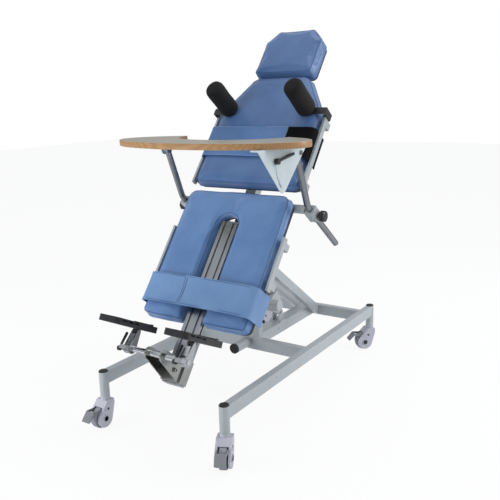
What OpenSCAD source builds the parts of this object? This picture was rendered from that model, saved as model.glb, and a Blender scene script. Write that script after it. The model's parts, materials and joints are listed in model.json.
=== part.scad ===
// Physiotherapy tilt table: a wheeled steel base with an A-shaped tower, a padded
// tilting table driven by a linear actuator, a wooden tray, underarm supports and footplates.
// Millimetres. +Z is up, the patient's head end points to +Y, +X is the table's right-hand side
// as seen from its foot end. The origin is on the floor under the middle of the overall size.
// Table coordinates: x across, y along the table from the foot edge of the leg cushion,
// z square to the cushions, zero on their front face.

/* [Base frame] */
// Distance between the left and right castor posts
track = 584; // [520:2:640]
// Distance between the front and rear castor posts
wheelbase = 1264; // [1200:2:1340]
// Height of the top face of the base rails
rail_top = 224; // [212:1:244]
// Width of a base rail
rail_w = 30; // [26:1:34]
// Depth of a base rail
rail_h = 50; // [44:1:56]
// Wall of the frame tubes
tube_wall = 2.5; // [2:0.5:4]
// Diameter of a castor post
post_d = 38; // [34:1:42]
// Width of the centre beam
centre_w = 60; // [56:1:60]
// From the front posts to the middle of the front crossbar
front_bar_set = 605; // [590:1:620]
// From the front posts to the middle of the rear crossbar
rear_bar_set = 1165; // [1140:1:1180]

/* [Tower] */
// Clear width between the two tower frames
tower_gap = 62; // [60:1:70]
// Width and depth of an upright
upright_w = 30; // [26:1:34]
// Depth of a rear strut
strut_d = 40; // [34:1:44]
// Height at which a strut's top edge meets its upright
strut_top = 611; // [595:1:614]
// From the front posts to the tilt pivot
pivot_set = 560; // [550:1:570]
// Height of the tilt pivot
pivot_z = 664; // [662:1:676]
// Diameter of the tilt shaft
shaft_d = 20; // [18:1:24]
// Diameter of the upright stop tube
stop_d = 44; // [40:1:48]

/* [Tilt and drive] */
// Tilt of the table from level, as shown
tilt = 51.6; // [51.6]
// From the pivot to the drive pin, along the table
crank_along = 64; // [60:1:68]
// From the pivot to the drive pin, away from the cushions
crank_drop = 28; // [26:1:32]
// From the front posts to the lower drive pin
drive_set = 850; // [840:1:860]
// Height of the lower drive pin
drive_z = 269; // [264:1:276]
// Diameter of the drive's piston rod
rod_d = 22; // [20:1:24]
// Diameter of the drive's guide tube
guide_d = 38; // [36:1:42]
// Diameter of the drive motor
motor_d = 54; // [50:1:58]
// Length of the drive motor
motor_l = 56; // [50:1:62]

/* [Table frame] */
// Length of the leg cushion
leg_l = 589; // [560:1:600]
// Gap between the leg and the back cushion
cushion_gap = 35; // [30:1:45]
// Length of the back cushion at full width
back_full_l = 370; // [350:1:390]
// Length of the back cushion's tapered end
back_taper_l = 191; // [180:1:200]
// Half the width of the cushions
half_w = 258; // [250:1:262]
// Half the width of the back cushion's narrow end
neck_half_w = 142; // [130:1:150]
// Thickness of the leg and back cushions
cushion_t = 50; // [45:1:55]
// Thickness of the boards under the cushions
board_t = 12; // [10:1:15]
// Half the width of the slot in the leg cushion
slot_half_w = 52; // [50:1:56]
// From the end of the slot to the end of the leg cushion
slot_margin = 107; // [98:1:118]
// Width of the main beam
beam_w = 50; // [46:1:54]
// Depth of the main beam
beam_d = 40; // [36:1:42]
// Width of a cross member
cross_w = 30; // [26:1:34]
// Depth of a cross member
cross_d = 20; // [18:1:22]

/* [Head section] */
// Length of the head cushion
head_l = 244; // [230:1:255]
// Half the width of the head cushion
head_half_w = 150; // [140:1:156]
// Half the width of the head cushion's top edge
head_top_half_w = 97; // [88:1:105]
// Length of the head cushion's cut corners
head_corner_l = 66; // [55:1:75]
// Thickness of the head cushion
head_t = 70; // [62:1:74]
// How far the head cushion stands above the back cushion
head_rise = 16; // [12:1:22]

/* [Foot unit] */
// Width of the foot rail
foot_rail_w = 80; // [76:1:84]
// Depth of the foot rail
foot_rail_d = 40; // [36:1:44]
// How far the foot rail runs past the leg cushion
foot_rail_out = 238; // [230:1:238]
// Length of the carriage on the foot rail
carriage_l = 94; // [88:1:98]
// Diameter of the foot bar
foot_bar_d = 22; // [20:1:25]
// Length of the foot bar
foot_bar_l = 292; // [290:1:310]
// From the foot bar's middle to the cushion face, square to it
foot_bar_out = 112; // [105:1:118]
// Width of a footplate
plate_w = 105; // [98:1:110]
// Length of a footplate
plate_l = 242; // [232:1:252]
// Thickness of a footplate
plate_t = 8; // [7:1:10]
// Angle that the footplates slope towards the toes
plate_pitch = 11; // [6:1:15]
// From the table's middle to a footplate's middle
plate_x = 156; // [150:1:158]

/* [Tray] */
// Half the width of the tray
tray_half_w = 430; // [415:1:440]
// Length of the tray, front to back
tray_l = 390; // [375:1:400]
// Thickness of the tray
tray_t = 23; // [19:1:25]
// Width of each end of the tray beside the body cut-out
tray_horn_w = 180; // [172:1:190]
// Depth of the body cut-out in the tray
cut_l = 220; // [205:1:235]
// Diameter of a tray arm
arm_d = 26; // [24:1:28]
// From the table's middle to a tray arm
arm_x = 315; // [312:1:322]
// Length of a tray arm's straight lower leg
arm_leg_l = 304; // [285:1:320]
// Length of a tray arm's upper leg, to the tray pivot
arm_reach = 236; // [225:1:245]
// Angle of the bend in a tray arm
arm_bend = 30; // [28:1:32]

/* [Rails, straps and underarm supports] */
// Depth of an accessory rail
acc_rail_d = 25; // [23:1:28]
// Thickness of an accessory rail
acc_rail_t = 10; // [8:1:11]
// Width of the leg strap
leg_strap_w = 125; // [110:1:130]
// Width of the chest strap
chest_strap_w = 150; // [130:1:155]
// Thickness of the straps
strap_t = 5; // [4:0.5:5]
// Diameter of an underarm support pad
pad_d = 84; // [76:1:88]
// Length of an underarm support pad
pad_l = 165; // [150:1:175]
// From the table's middle to an underarm support pad
pad_x = 195; // [185:1:200]

/* [Castors] */
// Diameter of a castor wheel
wheel_d = 84; // [80:1:88]
// Width of a castor wheel
wheel_w = 30; // [26:1:32]
// Overall height of a castor
castor_h = 121; // [118:1:126]
// Distance from the post's axis to the wheel's axle
castor_trail = 32; // [28:1:36]
// Overall width of a castor
castor_w = 58; // [54:1:62]

/* [Hidden] */
$fn = 48;

// Clearances and overrun
run_gap = 0.05;
seat_gap = 0.3;
side_gap = 0.5;
over = 1;

// Castor details
cheek_t = 8.5;
castor_collar_r = 19;
castor_collar_h = 12;
castor_hub_share = 0.86;
axle_r = 6;
hub_cap_r = 14;
hub_cap_h = 2.5;
brake_pin_r = 3;
brake_rise = 33;
brake_arm_t = 2.5;
brake_arm_r = 7;
pedal_reach = 112;
pedal_t = 5;
pedal_root = 80;
pedal_root_z = 82;
pedal_tip_z = 52;
wheel_round = 6;
wheel_dish = 3;
castor_turn = [180, -155.5, 90, 134.2];
castor_side = [-1, 1, -1, 1];
castor_end = [-1, -1, 1, 1];

// Base frame places
base_y = (pedal_reach - post_d / 2) / 2;
front_y = base_y - wheelbase / 2;
rear_y = base_y + wheelbase / 2;
post_x = track / 2;
cap_h = 4;
cap_plug_h = 12;
bar_y = [front_y + front_bar_set, front_y + rear_bar_set];
rail_mid_z = rail_top - rail_h / 2;

// Tower places
pivot_y = front_y + pivot_set;
tower_x = tower_gap / 2;
head_r = 26;
head_base_z = 584;
upright_y = bar_y[0];
bush_r = 15;
bush_flange_r = 20;
bush_flange_t = 2;
stop_wall = 3;
stop_z = rail_mid_z + 7;
buffer_t = 8;
buffer_plug_l = 15;

// Drive places
drive_y = front_y + drive_set;
lug_t = 8;
lug_r = 14;
drive_pin_r = 6;
drive_pin_head_r = 10;
drive_pin_head_t = 5;
drive_eye_w = 24;
drive_eye_r = 14;
rod_eye_w = 20;
rod_eye_r = 15;
rod_eye_bore_r = 8;
drive_plate_t = 6;
drive_plate_l = 46;
gearbox_l = 108;
gearbox_w = 48;
gearbox_start = lug_r + side_gap;
motor_along = 92;
motor_off = 46;
motor_cap_t = 9;
motor_side_share = 0.25;
guide_end = 385;
guide_cap_l = 12;
guide_cap_t = 3;
guide_wall = 3;
rod_tail = 185;

// Table frame places, in table coordinates
pivot_s = 420;
pivot_drop = 17;
stop_len = bar_y[0] - rail_w / 2 - buffer_t - seat_gap - (pivot_y - cross_d - beam_d - pivot_drop);
stack_t = cushion_t + board_t;
cross_bottom = -(stack_t + cross_d);
beam_bottom = cross_bottom - beam_d;
pivot_t = beam_bottom - pivot_drop;
crank_s = pivot_s + crank_along;
crank_t = pivot_t - crank_drop;
ear_t = 8;
ear_in = 15;
ear_r = 22;
stub_r = 7;
stub_head_r = 12;
stub_head_t = 6;
stub_in = 11.5;
shaft_collar_r = 16;
shaft_collar_t = 7;
beam_foot = 10;
back_s = leg_l + cushion_gap;
back_l = back_full_l + back_taper_l;
beam_head_set = 15;
beam_head = back_s + back_l - beam_head_set;
slot_l = leg_l - slot_margin;
board_inset = 6;

// Cushion outlines: corner radii, ring insets and heights
leg_corner_r = 45;
foot_corner_r = 28;
slot_corner_r = 12;
back_corner_r = 28;
neck_corner_r = 28;
head_corner_r = 28;
corner_steps = 4;
edge_step = 90;
side_draw = 3;
ring_inset = [5, 1, 2.5, 0, 2, 7, 14, 23];
ring_height_share = [-1, -0.93, -0.5, -0.16, -0.075, -0.025, -0.006, 0];

// Straps
leg_strap_s = 50;
chest_strap_set = 128;
chest_strap_s = back_s + chest_strap_set;
strap_corner_power = 16;
strap_steps = 18;
leg_strap_gap = 3;
chest_strap_gap = 3;
leg_strap_bulge = 16;
chest_strap_bulge = 8;
flap_end_share = -0.07;
flap_over_share = -0.27;
closure_share = 0.54;

// Cross members: place along the table, and half length
leg_strap_half = half_w + leg_strap_gap;
chest_strap_half = half_w + chest_strap_gap;
cross_half = 240;
cross_upper_set = 336;
cross_head_set = 526;
socket_w = 40;
socket_s = 562;
cross_at = [leg_strap_s + leg_strap_w / 2, 215, 385, socket_s, 660,
    chest_strap_s + chest_strap_w / 2, back_s + cross_upper_set, back_s + cross_head_set];
cross_reach = [leg_strap_half - seat_gap, cross_half, cross_half, arm_x - socket_w / 2, cross_half,
    chest_strap_half - seat_gap, cross_half, 110];

// Accessory rails
acc_x = half_w + chest_strap_gap + strap_t + 2;
acc_front = -20;
acc_leg = [182, 410];
acc_back = [back_s + 6, back_s + back_full_l + 10];
acc_foot_t = 12;
acc_cap_l = 4;

// Head section places
head_s = back_s + back_l + 7;
head_hinge_s = back_s + back_l + 5;
head_hinge_t = -(stack_t + 8);
hinge_r = 8;
hinge_pin_r = 3;
hinge_leaf_w = 24;
hinge_x = 45;
hinge_leaf_t = 6;
hinge_lug_t = 5;
head_panel_inset = 8;

// Foot unit places
groove_w = 8;
groove_neck = 3;
groove_d = 11;
groove_wide = 15;
rail_core_r = 9;
rail_cap_t = 4;
foot_rail_set = 27;
foot_rail_end = slot_l - foot_rail_set;
foot_rail_front = -(stack_t - foot_rail_d);
carriage_wall = 6;
carriage_start = -236;
carriage_arm_t = 6;
carriage_arm_x = 33;
carriage_arm_root = 84;
carriage_arm_r = 24;
foot_bar_s = -174;
bar_cap_t = 4;
clamp_in = 118;
clamp_w = 30;
clamp_r = 20;
clamp_lug_out = 32;
clamp_lug_h = 16;
ankle_s = -107;
ankle_r = 9;
ankle_pin_r = 4;
ankle_fork_t = 6;
plate_set = 18;
rim_h = 16;
rim_slot_l = 28;
rim_slot_h = 7;
rim_slot_pitch = 35;
rim_slot_from = 38;
rim_t = 3;
plate_corner_r = 22;
heel_r = 44;
heel_h = 22;
heel_t = 4;
lever_hub_r = 9;
lever_hub_w = 11;
lever_l = 62;
lever_bar_r = 4.5;
lever_s = -188;
lever_out = 142;
carriage_lever_s = -198;
carriage_lever_t = 28;
carriage_lever_l = 62;
lever_stub_l = 6;
lever_stub_r = 5;

// Tray places
arm_turn_r = 60;
arm_wall = 2;
arm_swell = 0.1;
arm_turn_s = socket_s;
arm_turn_t = -45;
socket_h = 70;
knob_up = 20;
socket_top = -68;
tray_pivot_s = arm_turn_s + arm_reach * sin(arm_bend);
tray_pivot_t = arm_turn_t + arm_reach * cos(arm_bend);
tray_under = 30;
tray_back = 59;
tray_horn_tip = 0.2;
cut_half_w = tray_half_w - tray_horn_w;
tray_end_angle = acos((cut_half_w - tray_horn_tip) / tray_half_w);
tray_oval_l = tray_l / (1 + sin(tray_end_angle));
tray_oval_y = tray_back - tray_l + tray_oval_l;
tray_steps = 60;
cut_centre_y = tray_back + 15;
bracket_t = 5;
bracket_gap = 0.5;
bracket_front = -290;
bracket_back = 48;
bracket_low_y = -131;
bracket_low_z = -114;
bracket_low_r = 22;
bracket_top_r = 6;
bracket_flange_w = 30;
slot_r = 182;
slot_half = 5.2;
slot_from = 184.5;
slot_to = 218;
slot_steps = 12;
link_t = 5;
link_r = 14;
arm_boss_r = 16;
tray_bolt_r = 5;
tray_bolt_head_r = 9;
tray_bolt_head_t = 5;
clamp_bolt_r = 4.9;
clamp_hub_r = 11;
clamp_hub_w = 15;
clamp_handle_l = 112;
clamp_handle_r = 6;
clamp_handle_rise = 9;
clamp_at = 184.9;
knob_d = 45;
knob_t = 22;
knob_neck_r = 9;
knob_neck_l = 9;
knob_lobes = 7;
knob_lobe_r = 5;
knob_stud_r = 5;
knob_stud_l = 14;

// Underarm supports
pad_set = 13;
pad_s = acc_back[1] - pad_set;
pad_round = 16;
support_t = 5;
support_w = 30;
support_lift = 2;
support_peg_r = 8;
support_peg_l = 120;
support_clamp_t = 6;

function unit(v) = v / norm(v);
function fillet(a, b, c, r, n) =
    let (u = unit(a - b), v = unit(c - b), half = acos(u * v) / 2,
        centre = b + unit(u + v) * (r / sin(half)), p = b + u * (r / tan(half)) - centre,
        q = b + v * (r / tan(half)) - centre, start = atan2(p[1], p[0]),
        sweep = (atan2(q[1], q[0]) - start + 540) % 360 - 180)
    [for (i = [0:n]) centre + r * [cos(start + sweep * i / n), sin(start + sweep * i / n)]];
function rounded(pts, radii, n) = let (m = len(pts))
    [for (i = [0:m - 1]) each fillet(pts[(i + m - 1) % m], pts[i], pts[(i + 1) % m], radii[i], n)];
function split_edges(pts, step) = let (m = len(pts))
    [for (i = [0:m - 1]) let (a = pts[i], b = pts[(i + 1) % m], k = max(1, ceil(norm(b - a) / step)))
        for (j = [0:k - 1]) a + (b - a) * j / k];
function inward(v) = [-v[1], v[0]];
function inset(pts, d) = let (m = len(pts))
    [for (i = [0:m - 1]) let (before = inward(unit(pts[i] - pts[(i + m - 1) % m])),
        after = inward(unit(pts[(i + 1) % m] - pts[i])), n = unit(before + after))
        pts[i] + n * d / (n * before)];
function drawn_in(pts, from, length) =
    [for (p = pts) [p[0] - sign(p[0]) * (abs(p[0]) > slot_half_w * 2 ? 1 : 0) * side_draw
        * sin(180 * min(1, max(0, (p[1] - from) / length))), p[1]]];

leg_corners = [[slot_half_w, 0], [half_w, 0], [half_w, leg_l], [-half_w, leg_l], [-half_w, 0],
    [-slot_half_w, 0]];
slot_arc = [for (i = [0:corner_steps * 3]) let (a = 180 - 180 * i / (corner_steps * 3))
    [slot_half_w * cos(a), slot_l - slot_half_w + slot_half_w * sin(a)]];
leg_outline = concat(
    fillet([slot_half_w, leg_l], [slot_half_w, 0], [half_w, 0], slot_corner_r, corner_steps),
    fillet([0, 0], [half_w, 0], [half_w, leg_l], foot_corner_r, corner_steps),
    fillet([half_w, 0], [half_w, leg_l], [0, leg_l], leg_corner_r, corner_steps),
    fillet([0, leg_l], [-half_w, leg_l], [-half_w, 0], leg_corner_r, corner_steps),
    fillet([-half_w, leg_l], [-half_w, 0], [0, 0], foot_corner_r, corner_steps),
    fillet([-half_w, 0], [-slot_half_w, 0], [-slot_half_w, leg_l], slot_corner_r, corner_steps),
    slot_arc);
back_outline = rounded([[half_w, back_s], [half_w, back_s + back_full_l],
    [neck_half_w, back_s + back_l], [-neck_half_w, back_s + back_l],
    [-half_w, back_s + back_full_l], [-half_w, back_s]],
    [back_corner_r, leg_corner_r, neck_corner_r, neck_corner_r, leg_corner_r, back_corner_r],
    corner_steps);
head_outline = rounded([[head_half_w, head_s], [head_half_w, head_s + head_l - head_corner_l],
    [head_top_half_w, head_s + head_l], [-head_top_half_w, head_s + head_l],
    [-head_half_w, head_s + head_l - head_corner_l], [-head_half_w, head_s]],
    [for (i = [0:5]) head_corner_r], corner_steps);

// Places
module in_table() {
    translate([0, pivot_y, pivot_z]) rotate([tilt, 0, 0]) translate([0, -pivot_s, -pivot_t])
        children();
}
module in_tray() {
    in_table() translate([0, tray_pivot_s, tray_pivot_t]) rotate([-tilt, 0, 0]) children();
}
crank_y = pivot_y + crank_along * cos(tilt) + crank_drop * sin(tilt);
crank_z = pivot_z + crank_along * sin(tilt) - crank_drop * cos(tilt);
drive_l = norm([crank_y - drive_y, crank_z - drive_z]);
drive_angle = atan2(crank_z - drive_z, crank_y - drive_y);
module in_drive() {
    translate([0, drive_y, drive_z]) rotate([drive_angle, 0, 0]) children();
}
module in_castor(i) {
    translate([castor_side[i] * post_x, castor_end[i] > 0 ? rear_y : front_y, 0])
        rotate([0, 0, castor_turn[i]]) children();
}
module in_plate() {
    translate([0, ankle_s, foot_bar_out]) rotate([plate_pitch, 0, 0])
        children();
}

// Shapes
module across(x0, width) {
    translate([x0, 0, 0]) rotate([90, 0, 90]) linear_extrude(width) children();
}
module rod_x(r, x0, x1) {
    translate([x0, 0, 0]) rotate([0, 90, 0]) cylinder(r = r, h = x1 - x0);
}
module block(x, y, z) {
    translate([x[0], y[0], z[0]]) cube([x[1] - x[0], y[1] - y[0], z[1] - z[0]]);
}
module tube_along_y(w, h, y0, y1, wall) {
    difference() {
        block([-w / 2, w / 2], [y0, y1], [-h / 2, h / 2]);
        block([wall - w / 2, w / 2 - wall], [y0 - over, y1 + over], [wall - h / 2, h / 2 - wall]);
    }
}
module tube_along_x(w, h, x0, x1, wall) {
    difference() {
        block([x0, x1], [-w / 2, w / 2], [-h / 2, h / 2]);
        block([x0 - over, x1 + over], [wall - w / 2, w / 2 - wall], [wall - h / 2, h / 2 - wall]);
    }
}
module mirror_pair() {
    for (side = [0, 1]) mirror([side, 0, 0]) children();
}
module cushion(outline, thick, front) {
    n = len(outline);
    last = len(ring_inset) - 1;
    points = [for (k = [0:last]) for (p = inset(outline, ring_inset[k]))
        [p[0], p[1], front + ring_height_share[k] * thick]];
    sides = [for (k = [0:last - 1]) for (i = [0:n - 1]) let (j = (i + 1) % n, a = k * n, b = a + n)
        each [[a + i, b + i, b + j], [a + i, b + j, a + j]]];
    polyhedron(points, concat(sides, [[for (i = [0:n - 1]) i]],
        [[for (i = [0:n - 1]) last * n + n - 1 - i]]), convexity = 6);
}
function strap_curve(half, top, a0, a1) = let (base = cross_bottom)
    [for (i = [0:strap_steps * 2]) let (a = a0 + (a1 - a0) * i / (strap_steps * 2))
        [half * sign(sin(a)) * pow(abs(sin(a)), 2 / strap_corner_power),
            base + (top - base) * pow(max(0, cos(a)), 2 / strap_corner_power)]];
// Angle at which the strap's curve reaches a share of its half width
function strap_angle(share) = asin(sign(share) * pow(abs(share), strap_corner_power / 2));
module strap(s0, width, half, top, a0, a1) {
    translate([0, s0 + width, 0]) rotate([90, 0, 0]) linear_extrude(width)
        polygon(concat(strap_curve(half + strap_t, top + strap_t, a0, a1),
            strap_curve(half, top, a1, a0)));
}

// Base
module side_rails() color([0.80, 0.82, 0.84]) mirror_pair() difference() {
    translate([post_x, 0, rail_mid_z]) tube_along_y(rail_w, rail_h, front_y, rear_y, tube_wall);
    for (y = [front_y, rear_y]) translate([post_x, y, 0]) cylinder(d = post_d, h = rail_top + over);
}
module cross_bars() color([0.80, 0.82, 0.84]) for (y = bar_y)
    translate([0, y, rail_mid_z])
        tube_along_x(rail_w, rail_h, rail_w / 2 - post_x, post_x - rail_w / 2, tube_wall);
module centre_rails() color([0.80, 0.82, 0.84]) translate([0, 0, rail_mid_z])
    tube_along_y(centre_w, rail_h, bar_y[0] + rail_w / 2, bar_y[1] - rail_w / 2, tube_wall);
module corner_posts() color([0.80, 0.82, 0.84]) for (x = [-post_x, post_x], y = [front_y, rear_y])
    translate([x, y, castor_h + seat_gap]) difference() {
        cylinder(d = post_d, h = rail_top - castor_h - seat_gap);
        translate([0, 0, castor_collar_h])
            cylinder(r = post_d / 2 - tube_wall, h = rail_top - castor_h);
    }
module base_caps() color([0.06, 0.06, 0.07]) {
    for (x = [-post_x, post_x], y = [front_y, rear_y]) translate([x, y, rail_top]) {
        cylinder(d1 = post_d, d2 = post_d - 2 * tube_wall, h = cap_h);
        translate([0, 0, -cap_plug_h]) cylinder(r = post_d / 2 - tube_wall, h = cap_plug_h);
    }
    translate([0, bar_y[0] - rail_w / 2 - stop_len, stop_z]) rotate([90, 0, 0]) {
        cylinder(d = stop_d, h = buffer_t);
        translate([0, 0, -buffer_plug_l]) cylinder(r = stop_d / 2 - stop_wall, h = buffer_plug_l);
    }
}
module strut_outline(trim) {
    y_foot = bar_y[1] - rail_w / 2;
    y_top = upright_y + upright_w / 2;
    rise = (strut_top - rail_top) / (y_foot - y_top);
    deep = strut_d * sqrt(1 + rise * rise);
    reach = trim > 0 ? over : 0;
    polygon([[y_foot + reach, rail_top - trim * sqrt(1 + rise * rise) - reach * rise],
        [y_top - reach, strut_top - trim * sqrt(1 + rise * rise) + reach * rise],
        [y_top - reach, strut_top - deep + trim * sqrt(1 + rise * rise) + reach * rise],
        [y_foot + reach, rail_top - deep + trim * sqrt(1 + rise * rise) - reach * rise]]);
}
module tower_frames() color([0.80, 0.82, 0.84]) mirror_pair() {
    difference() {
        union() {
            translate([tower_x + upright_w / 2, upright_y, rail_top]) rotate([90, 0, 0])
                tube_upright();
            difference() {
                across(tower_x, upright_w) strut_outline(0);
                across(tower_x + tube_wall, upright_w - 2 * tube_wall) strut_outline(tube_wall);
            }
            across(tower_x, upright_w) hull() {
                translate([pivot_y, pivot_z]) circle(r = head_r);
                translate([upright_y - upright_w / 2, head_base_z])
                    square([upright_w, upright_w]);
            }
        }
        translate([0, pivot_y, pivot_z]) rod_x(bush_r, tower_x - over, tower_x + upright_w + over);
    }
}
module tube_upright() rotate([-90, 0, 0]) difference() {
    block([-upright_w / 2, upright_w / 2], [-upright_w / 2, upright_w / 2],
        [0, head_base_z - rail_top]);
    block([tube_wall - upright_w / 2, upright_w / 2 - tube_wall],
        [tube_wall - upright_w / 2, upright_w / 2 - tube_wall], [-over, head_base_z - rail_top]);
}
module pivot_bushes() color([0.25, 0.25, 0.27]) mirror_pair() translate([0, pivot_y, pivot_z])
    difference() {
        union() {
            rod_x(bush_r, tower_x, tower_x + upright_w);
            rod_x(bush_flange_r, tower_x + upright_w, tower_x + upright_w + bush_flange_t);
        }
        rod_x(shaft_d / 2 + run_gap, tower_x - over, tower_x + upright_w + bush_flange_t + over);
    }
module stop_tube() color([0.80, 0.82, 0.84])
    translate([0, bar_y[0] - rail_w / 2, stop_z]) rotate([90, 0, 0]) difference() {
        cylinder(d = stop_d, h = stop_len);
        translate([0, 0, -over]) cylinder(r = stop_d / 2 - stop_wall, h = stop_len + 2 * over);
    }
module drive_bracket() color([0.72, 0.74, 0.76]) {
    lug_x = drive_eye_w / 2 + side_gap;
    difference() {
        union() {
            translate([0, drive_y, 0]) block([-centre_w / 2, centre_w / 2],
                [-drive_plate_l / 2, drive_plate_l / 2], [rail_top, rail_top + drive_plate_t]);
            mirror_pair() across(lug_x, lug_t) union() {
                translate([drive_y, drive_z]) circle(r = lug_r);
                polygon([[drive_y - lug_r, drive_z], [drive_y + lug_r, drive_z],
                    [drive_y + drive_plate_l / 2, rail_top], [drive_y - drive_plate_l / 2, rail_top]]);
            }
        }
        translate([0, drive_y, drive_z])
            rod_x(drive_pin_r + run_gap, -lug_x - lug_t - over, lug_x + lug_t + over);
    }
    translate([0, drive_y, drive_z]) {
        rod_x(drive_pin_r, -lug_x - lug_t - drive_pin_head_t, lug_x + lug_t + drive_pin_head_t);
        rod_x(drive_pin_head_r, lug_x + lug_t, lug_x + lug_t + drive_pin_head_t);
        rod_x(drive_pin_head_r, -lug_x - lug_t - drive_pin_head_t, -lug_x - lug_t);
    }
}

// Drive
module drive_gearbox() color([0.86, 0.87, 0.88]) in_drive() difference() {
    union() {
        rod_x(drive_eye_r, -drive_eye_w / 2, drive_eye_w / 2);
        block([-drive_eye_w / 2, drive_eye_w / 2], [0, gearbox_start + over],
            [-drive_eye_r, drive_eye_r]);
        across(-gearbox_w / 2, gearbox_w) hull() {
            for (y = [gearbox_start + guide_wall, gearbox_start + gearbox_l - guide_wall])
                translate([y, -gearbox_w / 2 + guide_wall]) circle(r = guide_wall, $fn = 24);
            translate([gearbox_start + gearbox_l - guide_wall, gearbox_w / 2]) circle(r = guide_wall);
            translate([motor_along, motor_off]) circle(d = motor_d + guide_wall);
            translate([gearbox_start + guide_wall, gearbox_w / 2 - guide_wall])
                circle(r = guide_wall);
        }
    }
    rod_x(drive_pin_r + run_gap, -gearbox_w, gearbox_w);
    translate([0, motor_along, motor_off])
        rod_x(motor_d / 2, gearbox_w / 2 - motor_cap_t, gearbox_w);
}
module drive_motor() color([0.93, 0.94, 0.94]) in_drive() translate([0, motor_along, motor_off]) {
    x0 = gearbox_w / 2 - motor_cap_t;
    rod_x(motor_d / 2, x0, x0 + motor_l - motor_cap_t);
    translate([x0 + motor_l - motor_cap_t, 0, 0]) rotate([0, 90, 0])
        cylinder(d1 = motor_d, d2 = motor_d - 2 * guide_wall, h = guide_wall);
}
module drive_guide_tube() color([0.78, 0.79, 0.81]) in_drive() rotate([-90, 0, 0]) difference() {
    union() {
        translate([0, 0, gearbox_start + gearbox_l])
            cylinder(d = guide_d, h = guide_end - gearbox_start - gearbox_l);
        translate([0, 0, guide_end - guide_cap_l])
            cylinder(d = guide_d + 2 * guide_cap_t, h = guide_cap_l);
    }
    translate([0, 0, gearbox_start + gearbox_l - over])
        cylinder(r = guide_d / 2 - guide_wall, h = guide_end - gearbox_start - gearbox_l
            - guide_cap_l + over);
    cylinder(r = rod_d / 2 + run_gap, h = guide_end + over);
}
module drive_rod() color([0.85, 0.86, 0.88]) in_drive() difference() {
    union() {
        rotate([-90, 0, 0]) translate([0, 0, rod_tail]) cylinder(d = rod_d,
            h = drive_l - rod_eye_r - rod_tail + over);
        translate([0, drive_l, 0]) rod_x(rod_eye_r, -rod_eye_w / 2, rod_eye_w / 2);
    }
    translate([0, drive_l, 0]) rod_x(rod_eye_bore_r, -rod_eye_w, rod_eye_w);
}

// Table frame
module main_beam() color([0.80, 0.82, 0.84]) in_table()
    translate([0, 0, cross_bottom - beam_d / 2]) {
        tube_along_y(beam_w, beam_d, beam_foot, beam_head, tube_wall);
        for (y = [beam_foot, beam_head - tube_wall])
            block([-beam_w / 2, beam_w / 2], [y, y + tube_wall], [-beam_d / 2, beam_d / 2]);
    }
module cross_members() color([0.80, 0.82, 0.84]) in_table() {
    for (i = [0:len(cross_at) - 1]) translate([0, cross_at[i], -stack_t - cross_d / 2])
        tube_along_x(cross_w, cross_d, -cross_reach[i], cross_reach[i], tube_wall);
    mirror_pair() {
        x0 = hinge_x - hinge_leaf_w / 2 - seat_gap;
        x1 = x0 + hinge_leaf_w + 2 * seat_gap;
        hinge_lug(x0 - hinge_lug_t);
        hinge_lug(x1);
        translate([0, head_hinge_s, head_hinge_t])
            rod_x(hinge_pin_r, x0 - hinge_lug_t, x1 + hinge_lug_t);
    }
}
module hinge_lug(x0) {
    across(x0, hinge_lug_t) union() {
        translate([head_hinge_s, head_hinge_t]) circle(r = hinge_r);
        translate([cross_at[7] + cross_w / 2 - over, head_hinge_t - hinge_r])
            square([head_hinge_s - cross_at[7] - cross_w / 2 + over, 2 * hinge_r]);
    }
}
module pivot_ears() color([0.70, 0.72, 0.74]) in_table() mirror_pair() {
    difference() {
        across(ear_in, ear_t) difference() {
            union() {
                translate([pivot_s, pivot_t]) circle(r = ear_r);
                translate([crank_s, crank_t]) circle(r = ear_r);
                polygon([[pivot_s - ear_r, beam_bottom], [pivot_s - ear_r, pivot_t],
                    [pivot_s, pivot_t - ear_r], [crank_s, crank_t - ear_r],
                    [crank_s + ear_r, crank_t], [crank_s + ear_r, beam_bottom]]);
            }
            translate([pivot_s - 2 * ear_r, beam_bottom]) square([crank_s, 2 * ear_r]);
        }
        translate([0, pivot_s, pivot_t]) rod_x(shaft_d / 2 + run_gap, 0, ear_in + ear_t + over);
        translate([0, crank_s, crank_t]) rod_x(stub_r + run_gap, 0, ear_in + ear_t + over);
    }
    translate([0, crank_s, crank_t]) {
        rod_x(stub_r, stub_in, ear_in + ear_t);
        rod_x(stub_head_r, ear_in + ear_t, ear_in + ear_t + stub_head_t);
    }
}
module pivot_shaft() color([0.62, 0.63, 0.65]) in_table() translate([0, pivot_s, pivot_t]) {
    out = tower_x + upright_w + bush_flange_t + seat_gap;
    rod_x(shaft_d / 2, -out - shaft_collar_t, out + shaft_collar_t);
    mirror_pair() {
        rod_x(shaft_collar_r, ear_in + ear_t, tower_x - seat_gap);
        rod_x(shaft_collar_r, out, out + shaft_collar_t);
    }
}
module board(outline, front) {
    translate([0, 0, front - board_t]) linear_extrude(board_t)
        polygon(inset(outline, board_inset));
}
module leg_board() color([0.16, 0.16, 0.17]) in_table() board(leg_outline, -cushion_t);
module back_board() color([0.16, 0.16, 0.17]) in_table() board(back_outline, -cushion_t);
module leg_cushion() color([0.24, 0.42, 0.74]) in_table()
    cushion(drawn_in(split_edges(leg_outline, edge_step), 0, leg_l), cushion_t, 0);
module back_cushion() color([0.24, 0.42, 0.74]) in_table()
    cushion(drawn_in(split_edges(back_outline, edge_step), back_s, back_full_l), cushion_t, 0);

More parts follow.
